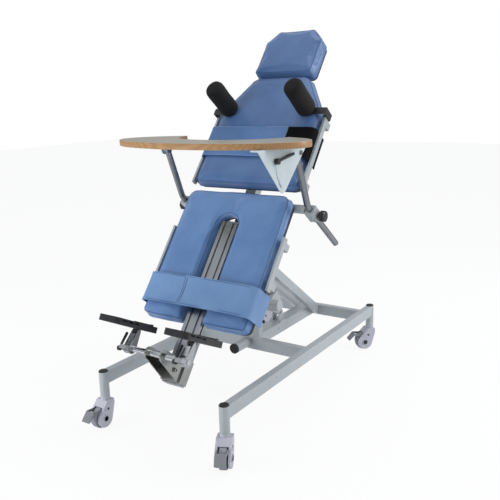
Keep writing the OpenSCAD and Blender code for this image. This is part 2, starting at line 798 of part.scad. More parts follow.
module rail_groove() {
    translate([-groove_w / 2, -over]) square([groove_w, groove_d + over]);
    translate([-groove_wide / 2, groove_neck]) square([groove_wide, groove_d - groove_neck]);
}
module rail_section() {
    half = foot_rail_w / 2;
    difference() {
        square([foot_rail_w, foot_rail_d], center = true);
        for (x = [-foot_rail_w / 4, foot_rail_w / 4], turn = [0, 180]) rotate(turn)
            translate([x, -foot_rail_d / 2]) rail_groove();
        for (turn = [0, 180]) rotate(turn) translate([half, 0]) rotate(90) rail_groove();
        circle(r = rail_core_r);
    }
}
module foot_rail() in_table() translate([0, 0, -stack_t + foot_rail_d / 2]) {
    color([0.78, 0.79, 0.80]) translate([0, foot_rail_end, 0]) rotate([90, 0, 0])
        linear_extrude(foot_rail_end + foot_rail_out) rail_section();
    color([0.08, 0.08, 0.09]) block([-foot_rail_w / 2, foot_rail_w / 2],
        [-foot_rail_out - rail_cap_t, -foot_rail_out], [-foot_rail_d / 2, foot_rail_d / 2]);
}
module accessory_rails() color([0.80, 0.81, 0.83]) in_table() mirror_pair() {
    for (span = [acc_leg, acc_back])
        block([acc_x, acc_x + acc_rail_t], span, [acc_front - acc_rail_d, acc_front]);
    for (i = [1, 2, 4, 6]) {
        block([cross_reach[i], acc_x + acc_rail_t / 2],
            [cross_at[i] - cross_w / 2, cross_at[i] + cross_w / 2],
            [cross_bottom, cross_bottom + acc_foot_t]);
        block([acc_x, acc_x + acc_rail_t / 2],
            [cross_at[i] - cross_w / 2, cross_at[i] + cross_w / 2],
            [cross_bottom + acc_foot_t, acc_front - acc_rail_d]);
    }
}
module leg_strap() color([0.22, 0.38, 0.68]) in_table() {
    strap(leg_strap_s, leg_strap_w, leg_strap_half, leg_strap_bulge, -90,
        strap_angle(flap_end_share));
    strap(leg_strap_s, leg_strap_w, leg_strap_half, leg_strap_bulge + strap_t + side_gap,
        strap_angle(flap_over_share), 90);
}
module chest_strap() in_table() {
    color([0.22, 0.38, 0.68]) strap(chest_strap_s, chest_strap_w, chest_strap_half,
        chest_strap_bulge, -90, strap_angle(closure_share));
    color([0.05, 0.05, 0.06]) strap(chest_strap_s, chest_strap_w, chest_strap_half,
        chest_strap_bulge, strap_angle(closure_share), 90);
}
module tray_sockets() color([0.80, 0.82, 0.84]) in_table() mirror_pair() difference() {
    block([arm_x - socket_w / 2, arm_x + socket_w / 2], [socket_s - socket_w / 2,
        socket_s + socket_w / 2], [socket_top - socket_h, socket_top]);
    translate([arm_x, socket_s, socket_top - socket_h - over])
        cylinder(r = arm_d / 2 + run_gap, h = socket_h + 2 * over);
    translate([0, socket_s, socket_top - socket_h + knob_up])
        rod_x(knob_stud_r + run_gap, arm_x, arm_x + socket_w);
}

// Head section
module head_panel() in_table() {
    panel_back = head_rise - head_t - board_t;
    color([0.16, 0.16, 0.17]) translate([0, 0, panel_back]) linear_extrude(board_t)
        polygon(inset(head_outline, head_panel_inset));
    color([0.70, 0.72, 0.74]) mirror_pair() {
        for (x = [hinge_x - hinge_leaf_w / 2]) difference() {
            union() {
                translate([0, head_hinge_s, head_hinge_t]) rod_x(hinge_r, x, x + hinge_leaf_w);
                block([x, x + hinge_leaf_w], [head_hinge_s, head_hinge_s + hinge_x],
                    [min(head_hinge_t, panel_back - hinge_leaf_t), panel_back]);
            }
            translate([0, head_hinge_s, head_hinge_t])
                rod_x(hinge_pin_r + run_gap, x - over, x + hinge_leaf_w + over);
        }
    }
}
module head_cushion() color([0.24, 0.42, 0.74]) in_table()
    cushion(head_outline, head_t, head_rise);

// Foot unit
module carriage_arm_outline() {
    front = foot_rail_front + side_gap;
    union() {
        translate([foot_bar_s, foot_bar_out]) circle(r = carriage_arm_r);
        polygon([[carriage_start, front], [carriage_start + carriage_arm_root, front],
            [foot_bar_s + carriage_arm_r, foot_bar_out], [foot_bar_s - carriage_arm_r, foot_bar_out]]);
    }
}
module foot_carriage() color([0.74, 0.75, 0.76]) in_table() difference() {
    union() {
        half = foot_rail_w / 2 + side_gap;
        front = foot_rail_front + side_gap;
        s1 = carriage_start + carriage_l;
        block([-half - carriage_wall, half + carriage_wall], [carriage_start, s1],
            [front, front + carriage_wall]);
        mirror_pair() {
            block([half, half + carriage_wall], [carriage_start, s1], [-stack_t, front]);
            block([half - groove_d + 2 * side_gap, half + over], [carriage_start, s1],
                [-stack_t + foot_rail_d / 2 - groove_w / 2 + side_gap,
                    -stack_t + foot_rail_d / 2 + groove_w / 2 - side_gap]);
            across(carriage_arm_x, carriage_arm_t) carriage_arm_outline();
            translate([0, carriage_lever_s, carriage_lever_t])
                rod_x(lever_hub_r, carriage_arm_x + carriage_arm_t, half + carriage_wall);
        }
    }
    translate([0, foot_bar_s, foot_bar_out]) rod_x(foot_bar_d / 2 + run_gap, -foot_bar_l, foot_bar_l);
    translate([0, carriage_lever_s, carriage_lever_t])
        rod_x(lever_stub_r + run_gap, -foot_bar_l, foot_bar_l);
}
module foot_bar() in_table() translate([0, foot_bar_s, foot_bar_out]) {
    color([0.84, 0.85, 0.87]) rod_x(foot_bar_d / 2, -foot_bar_l / 2, foot_bar_l / 2);
    color([0.06, 0.06, 0.07]) mirror_pair()
        rod_x(foot_bar_d / 2, foot_bar_l / 2, foot_bar_l / 2 + bar_cap_t);
}
module lever(length, stub) {
    rod_x(lever_hub_r, 0, lever_hub_w);
    rod_x(lever_stub_r, -stub, 0);
    translate([lever_hub_w / 2, 0, 0]) rotate([-90, 0, 0]) {
        cylinder(r1 = lever_bar_r, r2 = lever_hub_w / 2, h = length);
        translate([0, 0, length]) sphere(r = lever_hub_w / 2);
    }
}
module carriage_lever() color([0.07, 0.07, 0.08]) in_table()
    translate([-(foot_rail_w / 2 + side_gap + carriage_wall) - seat_gap, carriage_lever_s,
        carriage_lever_t]) mirror([1, 0, 0]) rotate([-35, 0, 0])
        lever(carriage_lever_l, lever_stub_l);
module foot_bracket() {
    difference() {
        union() {
            across(clamp_in, clamp_w) union() {
                translate([foot_bar_s, foot_bar_out]) circle(r = clamp_r);
                translate([foot_bar_s - clamp_lug_h, foot_bar_out])
                    square([clamp_lug_h, clamp_lug_out + lever_hub_r]);
            }
            for (x = [clamp_in, clamp_in + clamp_w - ankle_fork_t]) across(x, ankle_fork_t) union() {
                translate([ankle_s, foot_bar_out]) circle(r = ankle_r);
                polygon([[foot_bar_s, foot_bar_out - clamp_r], [ankle_s, foot_bar_out - ankle_r],
                    [ankle_s, foot_bar_out + ankle_r], [foot_bar_s, foot_bar_out + clamp_r]]);
            }
        }
        translate([0, foot_bar_s, foot_bar_out])
            rod_x(foot_bar_d / 2 + run_gap, clamp_in - over, clamp_in + clamp_w + over);
        translate([0, lever_s, lever_out])
            rod_x(lever_stub_r + run_gap, clamp_in - over, clamp_in + clamp_w + over);
    }
    translate([0, ankle_s, foot_bar_out])
        rod_x(ankle_pin_r, clamp_in + ankle_fork_t, clamp_in + clamp_w - ankle_fork_t);
}
module foot_bracket_right() color([0.76, 0.77, 0.79]) in_table() foot_bracket();
module foot_bracket_left() color([0.76, 0.77, 0.79]) in_table() mirror([1, 0, 0]) foot_bracket();

// A footplate lies in its own plane: x across, z towards the toes, y out of the sole
module plate_shape(cut) {
    hull() for (x = [-1, 1], z = [0, 1]) translate([x * (plate_w / 2 - plate_corner_r),
        plate_heel + plate_corner_r + z * (plate_l - 2 * plate_corner_r)])
        circle(r = plate_corner_r - cut);
}
plate_heel = -(foot_bar_out - plate_set) / cos(plate_pitch);
module footplate() {
    lug = clamp_w - 2 * ankle_fork_t - 2 * seat_gap;
    lug_mid = clamp_in + clamp_w / 2 - plate_x;
    difference() {
        union() {
            translate([0, ankle_r + 2 * seat_gap, 0]) rotate([-90, 0, 0]) mirror([0, 1, 0]) {
                linear_extrude(plate_t) plate_shape(0);
                translate([0, 0, plate_t]) linear_extrude(rim_h) difference() {
                    plate_shape(0);
                    plate_shape(rim_t);
                }
            }
            across(lug_mid - lug / 2, lug) union() {
                circle(r = ankle_r);
                translate([0, -ankle_r]) square([ankle_r + 2 * seat_gap + over, 2 * ankle_r]);
            }
            heel_cup();
        }
        rod_x(ankle_pin_r + run_gap, lug_mid - lug, lug_mid + lug);
        for (i = [0:2]) translate([0, ankle_r + 2 * seat_gap + plate_t + rim_h / 2,
            plate_heel + plate_l - rim_slot_from - i * rim_slot_pitch])
            block([-plate_w, plate_w], [-rim_slot_h / 2, rim_slot_h / 2],
                [-rim_slot_l / 2, rim_slot_l / 2]);
    }
}
module heel_cup() {
    translate([0, ankle_r + 2 * seat_gap + plate_t, plate_heel + heel_r + rim_t])
        rotate([-90, 0, 0]) difference() {
            cylinder(r = heel_r, h = heel_h);
            translate([0, 0, -over]) cylinder(r = heel_r - heel_t, h = heel_h + 2 * over);
            translate([-heel_r - over, -2 * heel_r, -over])
                cube([2 * heel_r + 2 * over, 2 * heel_r, heel_h + 2 * over]);
        }
}
module footplate_right() color([0.10, 0.10, 0.11]) in_table() translate([plate_x, 0, 0])
    in_plate() footplate();
module footplate_left() color([0.10, 0.10, 0.11]) in_table() mirror([1, 0, 0])
    translate([plate_x, 0, 0]) in_plate() footplate();
module foot_lever(x) {
    translate([x, lever_s, lever_out]) mirror([1, 0, 0]) rotate([-7, 0, 0])
        lever(lever_l, lever_stub_l);
}
module foot_lever_left() color([0.07, 0.07, 0.08]) in_table()
    foot_lever(-clamp_in - clamp_w - seat_gap);
module foot_lever_right() color([0.07, 0.07, 0.08]) in_table() foot_lever(clamp_in - seat_gap);

// Tray
module tray_arm(with_link) {
    difference() {
        union() {
            arm_path(arm_d / 2, 0, 0);
            translate([0, tray_pivot_s, tray_pivot_t]) rod_x(arm_boss_r, -arm_d / 2, arm_d / 2);
            if (with_link) translate([0, tray_pivot_s, tray_pivot_t]) rotate([-tilt, 0, 0])
                across(arm_d / 2 - link_t, link_t) hull() {
                    circle(r = link_r);
                    rotate(clamp_at) translate([slot_r, 0]) circle(r = link_r);
                }
        }
        arm_path(arm_d / 2 - arm_wall, over, arm_boss_r + arm_wall);
        translate([0, tray_pivot_s, tray_pivot_t]) rotate([-tilt + clamp_at, 0, 0])
            translate([0, slot_r, 0]) rod_x(clamp_bolt_r + run_gap, 0, arm_d);
    }
    translate([0, tray_pivot_s, tray_pivot_t]) {
        rod_x(tray_bolt_r, arm_d / 2, arm_d / 2 + bracket_gap * 2 + bracket_t);
        rod_x(tray_bolt_head_r, arm_d / 2 + bracket_gap * 2 + bracket_t,
            arm_d / 2 + bracket_gap * 2 + bracket_t + tray_bolt_head_t);
    }
}
module arm_path(r, reach, stop) {
    turn_l = arm_turn_r * tan(arm_bend / 2);
    translate([0, arm_turn_s, arm_turn_t - turn_l - arm_leg_l - reach])
        cylinder(r = r, h = arm_leg_l + reach + over);
    translate([0, arm_turn_s + arm_turn_r, arm_turn_t - turn_l]) rotate([90, 0, 90])
        rotate([0, 0, 180 - arm_bend]) rotate_extrude(angle = arm_bend, $fn = 96)
            translate([arm_turn_r, 0]) circle(r = r + arm_swell, $fn = 32);
    translate([0, arm_turn_s, arm_turn_t]) rotate([-arm_bend, 0, 0])
        translate([0, 0, turn_l - over]) cylinder(r = r, h = arm_reach - turn_l - stop + over);
}
module tray_arms() color([0.80, 0.81, 0.83]) in_table() {
    translate([arm_x, 0, 0]) tray_arm(true);
    mirror([1, 0, 0]) translate([arm_x, 0, 0]) tray_arm(false);
}
module tray_board() color([0.80, 0.58, 0.36]) in_tray() translate([0, 0, tray_under])
    linear_extrude(tray_t) polygon(tray_outline);
tray_front_curve = [for (i = [0:tray_steps]) let (a = -180 - tray_end_angle + i
    * (180 + 2 * tray_end_angle) / tray_steps)
    [tray_half_w * cos(a), tray_oval_y + tray_oval_l * sin(a)]];
cut_end_angle = asin((cut_centre_y - tray_back) / cut_l);
tray_cut_curve = [for (i = [0:tray_steps / 2]) let (a = -cut_end_angle - i
    * (180 - 2 * cut_end_angle) / (tray_steps / 2))
    [cut_half_w * cos(a), cut_centre_y + cut_l * sin(a)]];
tray_outline = concat(tray_front_curve, tray_cut_curve);
module slot_outline(r) {
    union() {
        polygon(concat([for (i = [0:slot_steps]) let (a = slot_from + (slot_to - slot_from)
            * i / slot_steps) [(slot_r + r) * cos(a), (slot_r + r) * sin(a)]],
            [for (i = [slot_steps:-1:0]) let (a = slot_from + (slot_to - slot_from)
            * i / slot_steps) [(slot_r - r) * cos(a), (slot_r - r) * sin(a)]]));
        for (a = [slot_from, slot_to]) rotate(a) translate([slot_r, 0]) circle(r = r);
    }
}
module tray_brackets() color([0.90, 0.91, 0.90]) in_tray() {
    tray_bracket(bracket_front, bracket_back) difference() {
        hull() {
            translate([bracket_low_y, bracket_low_z]) circle(r = bracket_low_r);
            for (y = [bracket_front + bracket_top_r, bracket_back - bracket_top_r])
                translate([y - bracket_top_r, tray_under - bracket_top_r])
                    square([2 * bracket_top_r, bracket_top_r]);
        }
        slot_outline(slot_half);
    }
    mirror([1, 0, 0]) tray_bracket(-bracket_back, bracket_back) union() {
        circle(r = bracket_low_r);
        translate([-bracket_low_r, 0]) square([2 * bracket_low_r, tray_under]);
    }
}
module tray_bracket(y0, y1) {
    x0 = arm_x + arm_d / 2 + bracket_gap;
    difference() {
        across(x0, bracket_t) children();
        rod_x(tray_bolt_r + run_gap, x0 - over, x0 + bracket_t + over);
    }
    block([x0 - bracket_flange_w, x0 + over], [y0, y1], [tray_under - bracket_t, tray_under]);
}
module tray_lever() {
    x0 = arm_x + arm_d / 2 + 2 * bracket_gap + bracket_t;
    rotate([clamp_at, 0, 0]) translate([0, slot_r, 0]) rotate([-clamp_at, 0, 0]) {
        rod_x(clamp_bolt_r, x0 - bracket_t - bracket_gap - link_t, x0 + over);
        rod_x(clamp_hub_r, x0, x0 + clamp_hub_w);
        translate([x0 + clamp_hub_w - clamp_handle_r, 0, 0]) rotate([-90 + clamp_handle_rise, 0, 0]) {
            cylinder(r1 = clamp_handle_r - over, r2 = clamp_handle_r, h = clamp_handle_l);
            translate([0, 0, clamp_handle_l]) sphere(r = clamp_handle_r);
        }
    }
}
module tray_lever_right() color([0.06, 0.06, 0.07]) in_tray() tray_lever();
module socket_knob() {
    translate([arm_x + socket_w / 2 + seat_gap, socket_s, socket_top - socket_h + knob_up]) {
        rod_x(knob_stud_r, -knob_stud_l / 2, over);
        rod_x(knob_neck_r, 0, knob_neck_l);
        difference() {
            translate([knob_neck_l, 0, 0]) rotate([0, 90, 0]) {
                cylinder(d = knob_d, h = knob_t - knob_lobe_r / 2);
                translate([0, 0, knob_t - knob_lobe_r / 2])
                    cylinder(d1 = knob_d, d2 = knob_d - knob_lobe_r * 2, h = knob_lobe_r / 2);
            }
            for (i = [0:knob_lobes - 1]) rotate([i * 360 / knob_lobes, 0, 0])
                translate([0, knob_d / 2 + knob_lobe_r / 2, 0])
                    rod_x(knob_lobe_r, knob_neck_l - over, knob_neck_l + knob_t + over);
        }
    }
}
module socket_knob_right() color([0.06, 0.06, 0.07]) in_table() socket_knob();
module socket_knob_left() color([0.06, 0.06, 0.07]) in_table() mirror([1, 0, 0]) socket_knob();

// Underarm supports
module support_pad() {
    translate([pad_x, pad_s, support_lift + support_t]) rotate_extrude() difference() {
        union() {
            translate([0, pad_round]) square([pad_d / 2, pad_l - 2 * pad_round]);
            square([pad_d / 2 - pad_round, pad_l]);
            for (z = [pad_round, pad_l - pad_round])
                translate([pad_d / 2 - pad_round, z]) circle(r = pad_round);
        }
        square([support_peg_r + run_gap, support_peg_l + over]);
        translate([-pad_d, -over]) square([pad_d, pad_l + 2 * over]);
    }
}
module support_pad_right() color([0.05, 0.05, 0.05]) in_table() support_pad();
module support_pad_left() color([0.05, 0.05, 0.05]) in_table() mirror([1, 0, 0]) support_pad();
module support_bracket() {
    clamp_x = acc_x + acc_rail_t + run_gap * 2;
    s0 = pad_s - support_w / 2 - acc_cap_l;
    s1 = s0 + support_w;
    translate([pad_x, pad_s, support_lift]) cylinder(r = support_peg_r, h = support_t + support_peg_l);
    translate([pad_x, pad_s, support_lift]) cylinder(r = support_w / 2, h = support_t);
    block([pad_x, clamp_x + support_clamp_t], [s0, s1], [support_lift, support_lift + support_t]);
    block([clamp_x, clamp_x + support_clamp_t], [s0, s1],
        [acc_front - acc_rail_d - run_gap - support_clamp_t, support_lift]);
    block([acc_x + acc_rail_t / 2 + side_gap, clamp_x + support_clamp_t], [s0, s1],
        [acc_front - acc_rail_d - run_gap * 2 - support_clamp_t, acc_front - acc_rail_d - run_gap * 2]);
    block([acc_x, clamp_x + support_clamp_t], [s0, s1],
        [acc_front + run_gap * 2, acc_front + run_gap * 2 + support_clamp_t]);
}
module support_bracket_right() color([0.10, 0.10, 0.11]) in_table() support_bracket();
module support_bracket_left() color([0.10, 0.10, 0.11]) in_table() mirror([1, 0, 0])
    support_bracket();

// Castors: the local +Y axis points the way the wheel trails
module castor_outline(r) {
    hull() {
        translate([castor_trail, wheel_d / 2]) circle(r = r);
        translate([-castor_collar_r, castor_h - castor_collar_h - castor_collar_r])
            square([2 * castor_collar_r, castor_collar_r]);
    }
}
module castor_housing(i) color([0.66, 0.65, 0.74]) in_castor(i) {
    hub = wheel_d / 2 * castor_hub_share;
    inner = castor_w / 2 - cheek_t;
    difference() {
        union() {
            across(-castor_w / 2, castor_w) castor_outline(hub);
            translate([0, 0, castor_h - castor_collar_h]) cylinder(r = castor_collar_r,
                h = castor_collar_h);
        }
        translate([0, castor_trail, wheel_d / 2])
            rod_x(wheel_d / 2 + wheel_dish, -inner, inner);
        block([-inner, inner], [castor_trail, castor_trail + wheel_d], [0, pedal_root_z + pedal_t]);
    }
    translate([0, castor_trail, wheel_d / 2]) {
        rod_x(axle_r, -inner - over, inner + over);
        mirror_pair() rod_x(hub_cap_r, castor_w / 2, castor_w / 2 + hub_cap_h);
    }
    translate([0, castor_trail, wheel_d / 2 + brake_rise]) mirror_pair()
        rod_x(brake_pin_r, inner - brake_arm_t - seat_gap, castor_w / 2 + hub_cap_h);
}
module castor_wheel(i) color([0.22, 0.22, 0.24]) in_castor(i)
    translate([0, castor_trail, wheel_d / 2]) rotate([0, 90, 0]) rotate_extrude($fn = 72)
        difference() {
            union() {
                translate([0, wheel_round - wheel_w / 2]) square([wheel_d / 2, wheel_w - 2 * wheel_round]);
                translate([0, -wheel_w / 2]) square([wheel_d / 2 - wheel_round, wheel_w]);
                for (z = [-1, 1]) translate([wheel_d / 2 - wheel_round, z * (wheel_w / 2 - wheel_round)])
                    circle(r = wheel_round, $fn = 24);
            }
            translate([0, -wheel_w]) square([axle_r + run_gap, 2 * wheel_w]);
            for (z = [-1, 1]) translate([axle_r * 2, z * wheel_w / 2 - wheel_dish / 2])
                square([wheel_d / 2 - wheel_round * 2 - axle_r * 2, wheel_dish]);
            translate([-wheel_d, -wheel_w]) square([wheel_d, 2 * wheel_w]);
        }
module brake_pedal(i) color([0.55, 0.56, 0.58]) in_castor(i) {
    inner = castor_w / 2 - cheek_t - seat_gap;
    pin_z = wheel_d / 2 + brake_rise;
    difference() {
        union() {
            mirror_pair() across(inner - brake_arm_t, brake_arm_t) union() {
                translate([castor_trail, pin_z]) circle(r = brake_arm_r);
                polygon([[castor_trail, pin_z - brake_arm_r], [pedal_root + pedal_t, pedal_root_z - pedal_t],
                    [pedal_root + pedal_t, pedal_root_z + pedal_t], [castor_trail, pin_z + brake_arm_r]]);
            }
            across(-inner, 2 * inner) polygon([[pedal_root + pedal_t, pedal_root_z - pedal_t],
                [pedal_root + pedal_t, pedal_root_z + pedal_t], [pedal_reach, pedal_tip_z + pedal_t],
                [pedal_reach, pedal_tip_z]]);
        }
        translate([0, castor_trail, pin_z]) rod_x(brake_pin_r + run_gap, -castor_w, castor_w);
    }
}

side_rails();
cross_bars();
centre_rails();
corner_posts();
base_caps();
tower_frames();
pivot_bushes();
stop_tube();
drive_bracket();
drive_gearbox();
drive_motor();
drive_guide_tube();
drive_rod();
main_beam();
cross_members();
pivot_ears();
pivot_shaft();
leg_board();
back_board();
leg_cushion();
back_cushion();
foot_rail();
accessory_rails();
leg_strap();
chest_strap();
tray_sockets();
head_panel();
head_cushion();
foot_carriage();
foot_bar();
carriage_lever();
foot_bracket_left();
foot_bracket_right();
footplate_left();
footplate_right();
foot_lever_left();
foot_lever_right();
tray_arms();
tray_board();
tray_brackets();
tray_lever_right();
socket_knob_left();
socket_knob_right();
support_pad_left();
support_pad_right();
support_bracket_left();
support_bracket_right();
castor_housing(0);  // castor_front_left
castor_housing(1);  // castor_front_right
castor_housing(2);  // castor_rear_left
castor_housing(3);  // castor_rear_right
castor_wheel(0);  // wheel_front_left
castor_wheel(1);  // wheel_front_right
castor_wheel(2);  // wheel_rear_left
castor_wheel(3);  // wheel_rear_right
brake_pedal(0);  // pedal_front_left
brake_pedal(1);  // pedal_front_right
brake_pedal(2);  // pedal_rear_left
brake_pedal(3);  // pedal_rear_right
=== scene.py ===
import json
import math

import bmesh
import bpy
from mathutils import Matrix, Vector, noise
from mathutils.bvhtree import BVHTree


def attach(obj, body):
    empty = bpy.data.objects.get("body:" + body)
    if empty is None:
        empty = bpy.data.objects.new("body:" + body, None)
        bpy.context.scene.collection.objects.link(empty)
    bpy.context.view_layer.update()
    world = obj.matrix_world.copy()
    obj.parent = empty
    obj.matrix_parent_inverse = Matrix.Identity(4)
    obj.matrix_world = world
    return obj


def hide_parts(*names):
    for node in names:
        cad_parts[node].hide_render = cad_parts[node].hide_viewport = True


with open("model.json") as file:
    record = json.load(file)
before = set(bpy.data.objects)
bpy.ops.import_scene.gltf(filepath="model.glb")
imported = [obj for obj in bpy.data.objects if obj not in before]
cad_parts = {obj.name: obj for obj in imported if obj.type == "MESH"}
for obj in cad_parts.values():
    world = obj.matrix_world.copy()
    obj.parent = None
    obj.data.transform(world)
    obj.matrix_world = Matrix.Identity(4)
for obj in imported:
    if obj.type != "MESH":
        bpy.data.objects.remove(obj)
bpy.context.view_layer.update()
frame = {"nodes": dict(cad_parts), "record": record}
nodes = frame["nodes"]

# Sizes that the part's source also gives, in metres; S runs up the table and T stands off it
BASE_MID, BASE_HALF = 0.0465, 0.632
FRONT_Y, REAR_Y = BASE_MID - BASE_HALF, BASE_MID + BASE_HALF
POST_X = 0.292
PIVOT_SET, PIVOT_Z = 0.560, 0.664
PIVOT_S, PIVOT_T = 0.420, -0.139
TILT = math.radians(51.6)
TABLE = (Matrix.Translation((0, FRONT_Y + PIVOT_SET, PIVOT_Z)) @ Matrix.Rotation(TILT, 4, "X")
         @ Matrix.Translation((0, -PIVOT_S, -PIVOT_T)))
CROSS_BOTTOM = -0.082
HALF_W, CUSHION_T = 0.258, 0.050
LEG_L, SLOT_HALF, SLOT_L = 0.589, 0.052, 0.482
BACK_S, BACK_FULL, BACK_END, NECK_HALF = 0.624, 0.370, 1.185, 0.142
HEAD_S, HEAD_L, HEAD_HALF, HEAD_TOP_HALF = 1.192, 0.244, 0.150, 0.097
HEAD_CORNER_L, HEAD_T, HEAD_RISE = 0.066, 0.070, 0.016
LOW_CORNER_R, HIGH_CORNER_R, HEAD_CORNER_R = 0.028, 0.045, 0.011
SLOT_MOUTH_R, SLOT_END_R = 0.012, 0.0515
ARM_TURN_S, ARM_TURN_T = 0.562, -0.045
ARM_REACH, ARM_BEND = 0.236, math.radians(30)
TRAY = TABLE @ Vector((0, ARM_TURN_S + ARM_REACH * math.sin(ARM_BEND),
                       ARM_TURN_T + ARM_REACH * math.cos(ARM_BEND)))
TRAY_HALF, TRAY_BACK, TRAY_TOP_Z, TRAY_T = 0.430, 0.059, 0.053, 0.023
OVAL_L, OVAL_Y = 0.215, -0.116
CUT_HALF, CUT_L, CUT_SET = 0.250, 0.220, 0.015
LEG_STRAP_S, LEG_STRAP_W = 0.050, 0.125
CHEST_STRAP_S, CHEST_STRAP_W = 0.752, 0.150
STRAP_HALF, STRAP_POWER = 0.261, 16
SUPPORT_X, SUPPORT_S, SUPPORT_T = 0.195, 0.991, 0.007
CASTORS = {
    "front_left": (-POST_X, FRONT_Y, 180.0),
    "front_right": (POST_X, FRONT_Y, -155.5),
    "rear_left": (-POST_X, REAR_Y, 90.0),
    "rear_right": (POST_X, REAR_Y, 134.2),
}

# Camera, solved from the photograph's straight edges, then turned a little to suit the table too
CAMERA_AT = (1.53674, FRONT_Y - 1.68458, 1.26591)
CAMERA_YAW, CAMERA_PITCH, CAMERA_ROLL = (math.radians(a) for a in (33.580, 13.230, -1.600))
FOCAL_PX, PICTURE_PX, SENSOR, VIEW_END = 656.48, 500, 36, 60

# Room: what lights the part, and what the camera sees of it
ROOM_TINT = (0.93, 0.96, 1.0, 1)
ROOM_LOW, ROOM_HIGH = 0.20, 0.74
FLOOR_HALF, FLOOR_TONE, FLOOR_GLOW = 14, (0.80, 0.81, 0.82, 1), 0.90

# Cushion covers
PAD_VOXEL, PAD_SLACK, PAD_CAP, PAD_PRESSURE, PAD_HELD = 0.006, 0.003, 0.006, 5.0, 0.006
CLOTH_FRAMES = 16
PUCKER_REACH, PUCKER_H, PUCKER_TURNS, PUCKER_WAVES = 0.055, 0.0011, 22, 60
SEAM_R, SEAM_SINK, SEAM_STEP = 0.0013, 0.0004, 0.006

# Straps
HEM_SHARE, HEM_H, WAVE_H = 0.06, 0.0009, 0.0022
STRAP_RUN, STRAP_PARTS, STITCH_PARTS, STITCH_R = 0.6, (150, 20), 48, 0.0010

# Foam rolls: radius and height of each ring
FOAM_PROFILE = [(0.0083, 0), (0.028, 0), (0.0375, 0.004), (0.0412, 0.013), (0.0418, 0.030),
                (0.0415, 0.085), (0.0419, 0.135), (0.0412, 0.150), (0.0370, 0.160), (0.027, 0.1645),
                (0.010, 0.1650), (0.0, 0.1652)]
FOAM_CORE, FOAM_UNEVEN = 0.012, 0.0007

# Castor caps: radius, place along and above the castor, and how far out the cheek's face is
CASTOR_CAPS = ((0.0115, 0.032, 0.042, 0.0315), (0.0055, 0.016, 0.078, 0.0290))
CAP_T, CAP_SUNK, CAP_DISH = 0.0012, 0.0005, 0.0006


# Scene helpers
def put(name, data):
    obj = bpy.data.objects.new(name, data)
    bpy.context.scene.collection.objects.link(obj)
    return obj


def mesh_from(name, bm):
    mesh = bpy.data.meshes.new(name)
    bm.to_mesh(mesh)
    bm.free()
    return mesh


# Node helpers
def add(tree, kind, **values):
    node = tree.nodes.new(kind)
    for key, value in values.items():
        setattr(node, key, value)
    return node


def set_in(node, **values):
    for key, value in values.items():
        node.inputs[key.replace("_", " ")].default_value = value
    return node


def feed(tree, value, socket):
    """Links a value that comes from another node, and sets one that is a plain number or colour."""
    if isinstance(value, bpy.types.NodeSocket):
        tree.links.new(value, socket)
    else:
        socket.default_value = value


def maths(tree, operation, *values):
    node = add(tree, "ShaderNodeMath", operation=operation)
    for socket, value in zip(node.inputs, values):
        feed(tree, value, socket)
    return node.outputs[0]


def mix_colour(tree, share, first, second):
    node = add(tree, "ShaderNodeMix", data_type="RGBA")
    for socket, value in ((0, share), (6, first), (7, second)):
        feed(tree, value, node.inputs[socket])
    return node.outputs[2]


def spread(tree, value, low, high, out_low, out_high, **values):
    node = add(tree, "ShaderNodeMapRange", **values)
    for socket, given in enumerate((value, low, high, out_low, out_high)):
        feed(tree, given, node.inputs[socket])
    return node.outputs[0]


def split_up(tree, vector):
    node = add(tree, "ShaderNodeSeparateXYZ")
    tree.links.new(vector, node.inputs[0])
    return node.outputs


def object_coords(tree):
    return add(tree, "ShaderNodeTexCoord").outputs["Object"]


def noise_tex(tree, coords, scale, detail=3.0, rough=0.55):
    node = set_in(add(tree, "ShaderNodeTexNoise"), Detail=detail, Roughness=rough)
    tree.links.new(coords, node.inputs["Vector"])
    feed(tree, scale, node.inputs["Scale"])
    return node.outputs[0]


def bump(tree, height, strength, distance, normal=None):
    node = add(tree, "ShaderNodeBump")
    for label, value in (("Height", height), ("Strength", strength), ("Distance", distance)):
        feed(tree, value, node.inputs[label])
    if normal:
        tree.links.new(normal, node.inputs["Normal"])
    return node.outputs[0]


def camera_mix(tree, out, others, camera, share):
    """Shows the camera its own shader, by share, and everything else the other one."""
    rays = add(tree, "ShaderNodeLightPath").outputs["Is Camera Ray"]
    mix = add(tree, "ShaderNodeMixShader")
    tree.links.new(maths(tree, "MULTIPLY", rays, share), mix.inputs["Fac"])
    tree.links.new(others.outputs[0], mix.inputs[1])
    tree.links.new(camera.outputs[0], mix.inputs[2])
    tree.links.new(mix.outputs[0], out.inputs["Surface"])


# Camera, light and floor
def make_camera():
    yaw, pitch, roll = CAMERA_YAW, CAMERA_PITCH, CAMERA_ROLL
    forward = Vector((-math.sin(yaw) * math.cos(pitch), math.cos(yaw) * math.cos(pitch),
                      -math.sin(pitch)))
    level = Vector((math.cos(yaw), math.sin(yaw), 0))
    upright = level.cross(forward)
    right = math.cos(roll) * level + math.sin(roll) * upright
    up = -math.sin(roll) * level + math.cos(roll) * upright
    data = bpy.data.cameras.new("camera")
    data.sensor_width = SENSOR
    data.lens = FOCAL_PX / PICTURE_PX * SENSOR
    data.clip_end = VIEW_END
    cam = put("camera", data)
    turn = Matrix((right, up, -forward)).transposed().to_4x4()
    cam.matrix_world = Matrix.Translation(CAMERA_AT) @ turn
    bpy.context.scene.camera = cam


def area_lamp(name, place, target, size, watts, glossy=True):
    data = bpy.data.lights.new(name, "AREA")
    data.shape = "RECTANGLE"
    data.size, data.size_y = size
    data.energy = watts
    lamp = put(name, data)
    lamp.location = place
    lamp.rotation_mode = "QUATERNION"
    lamp.rotation_quaternion = (Vector(target) - Vector(place)).to_track_quat("-Z", "Y")
    lamp.visible_glossy = glossy


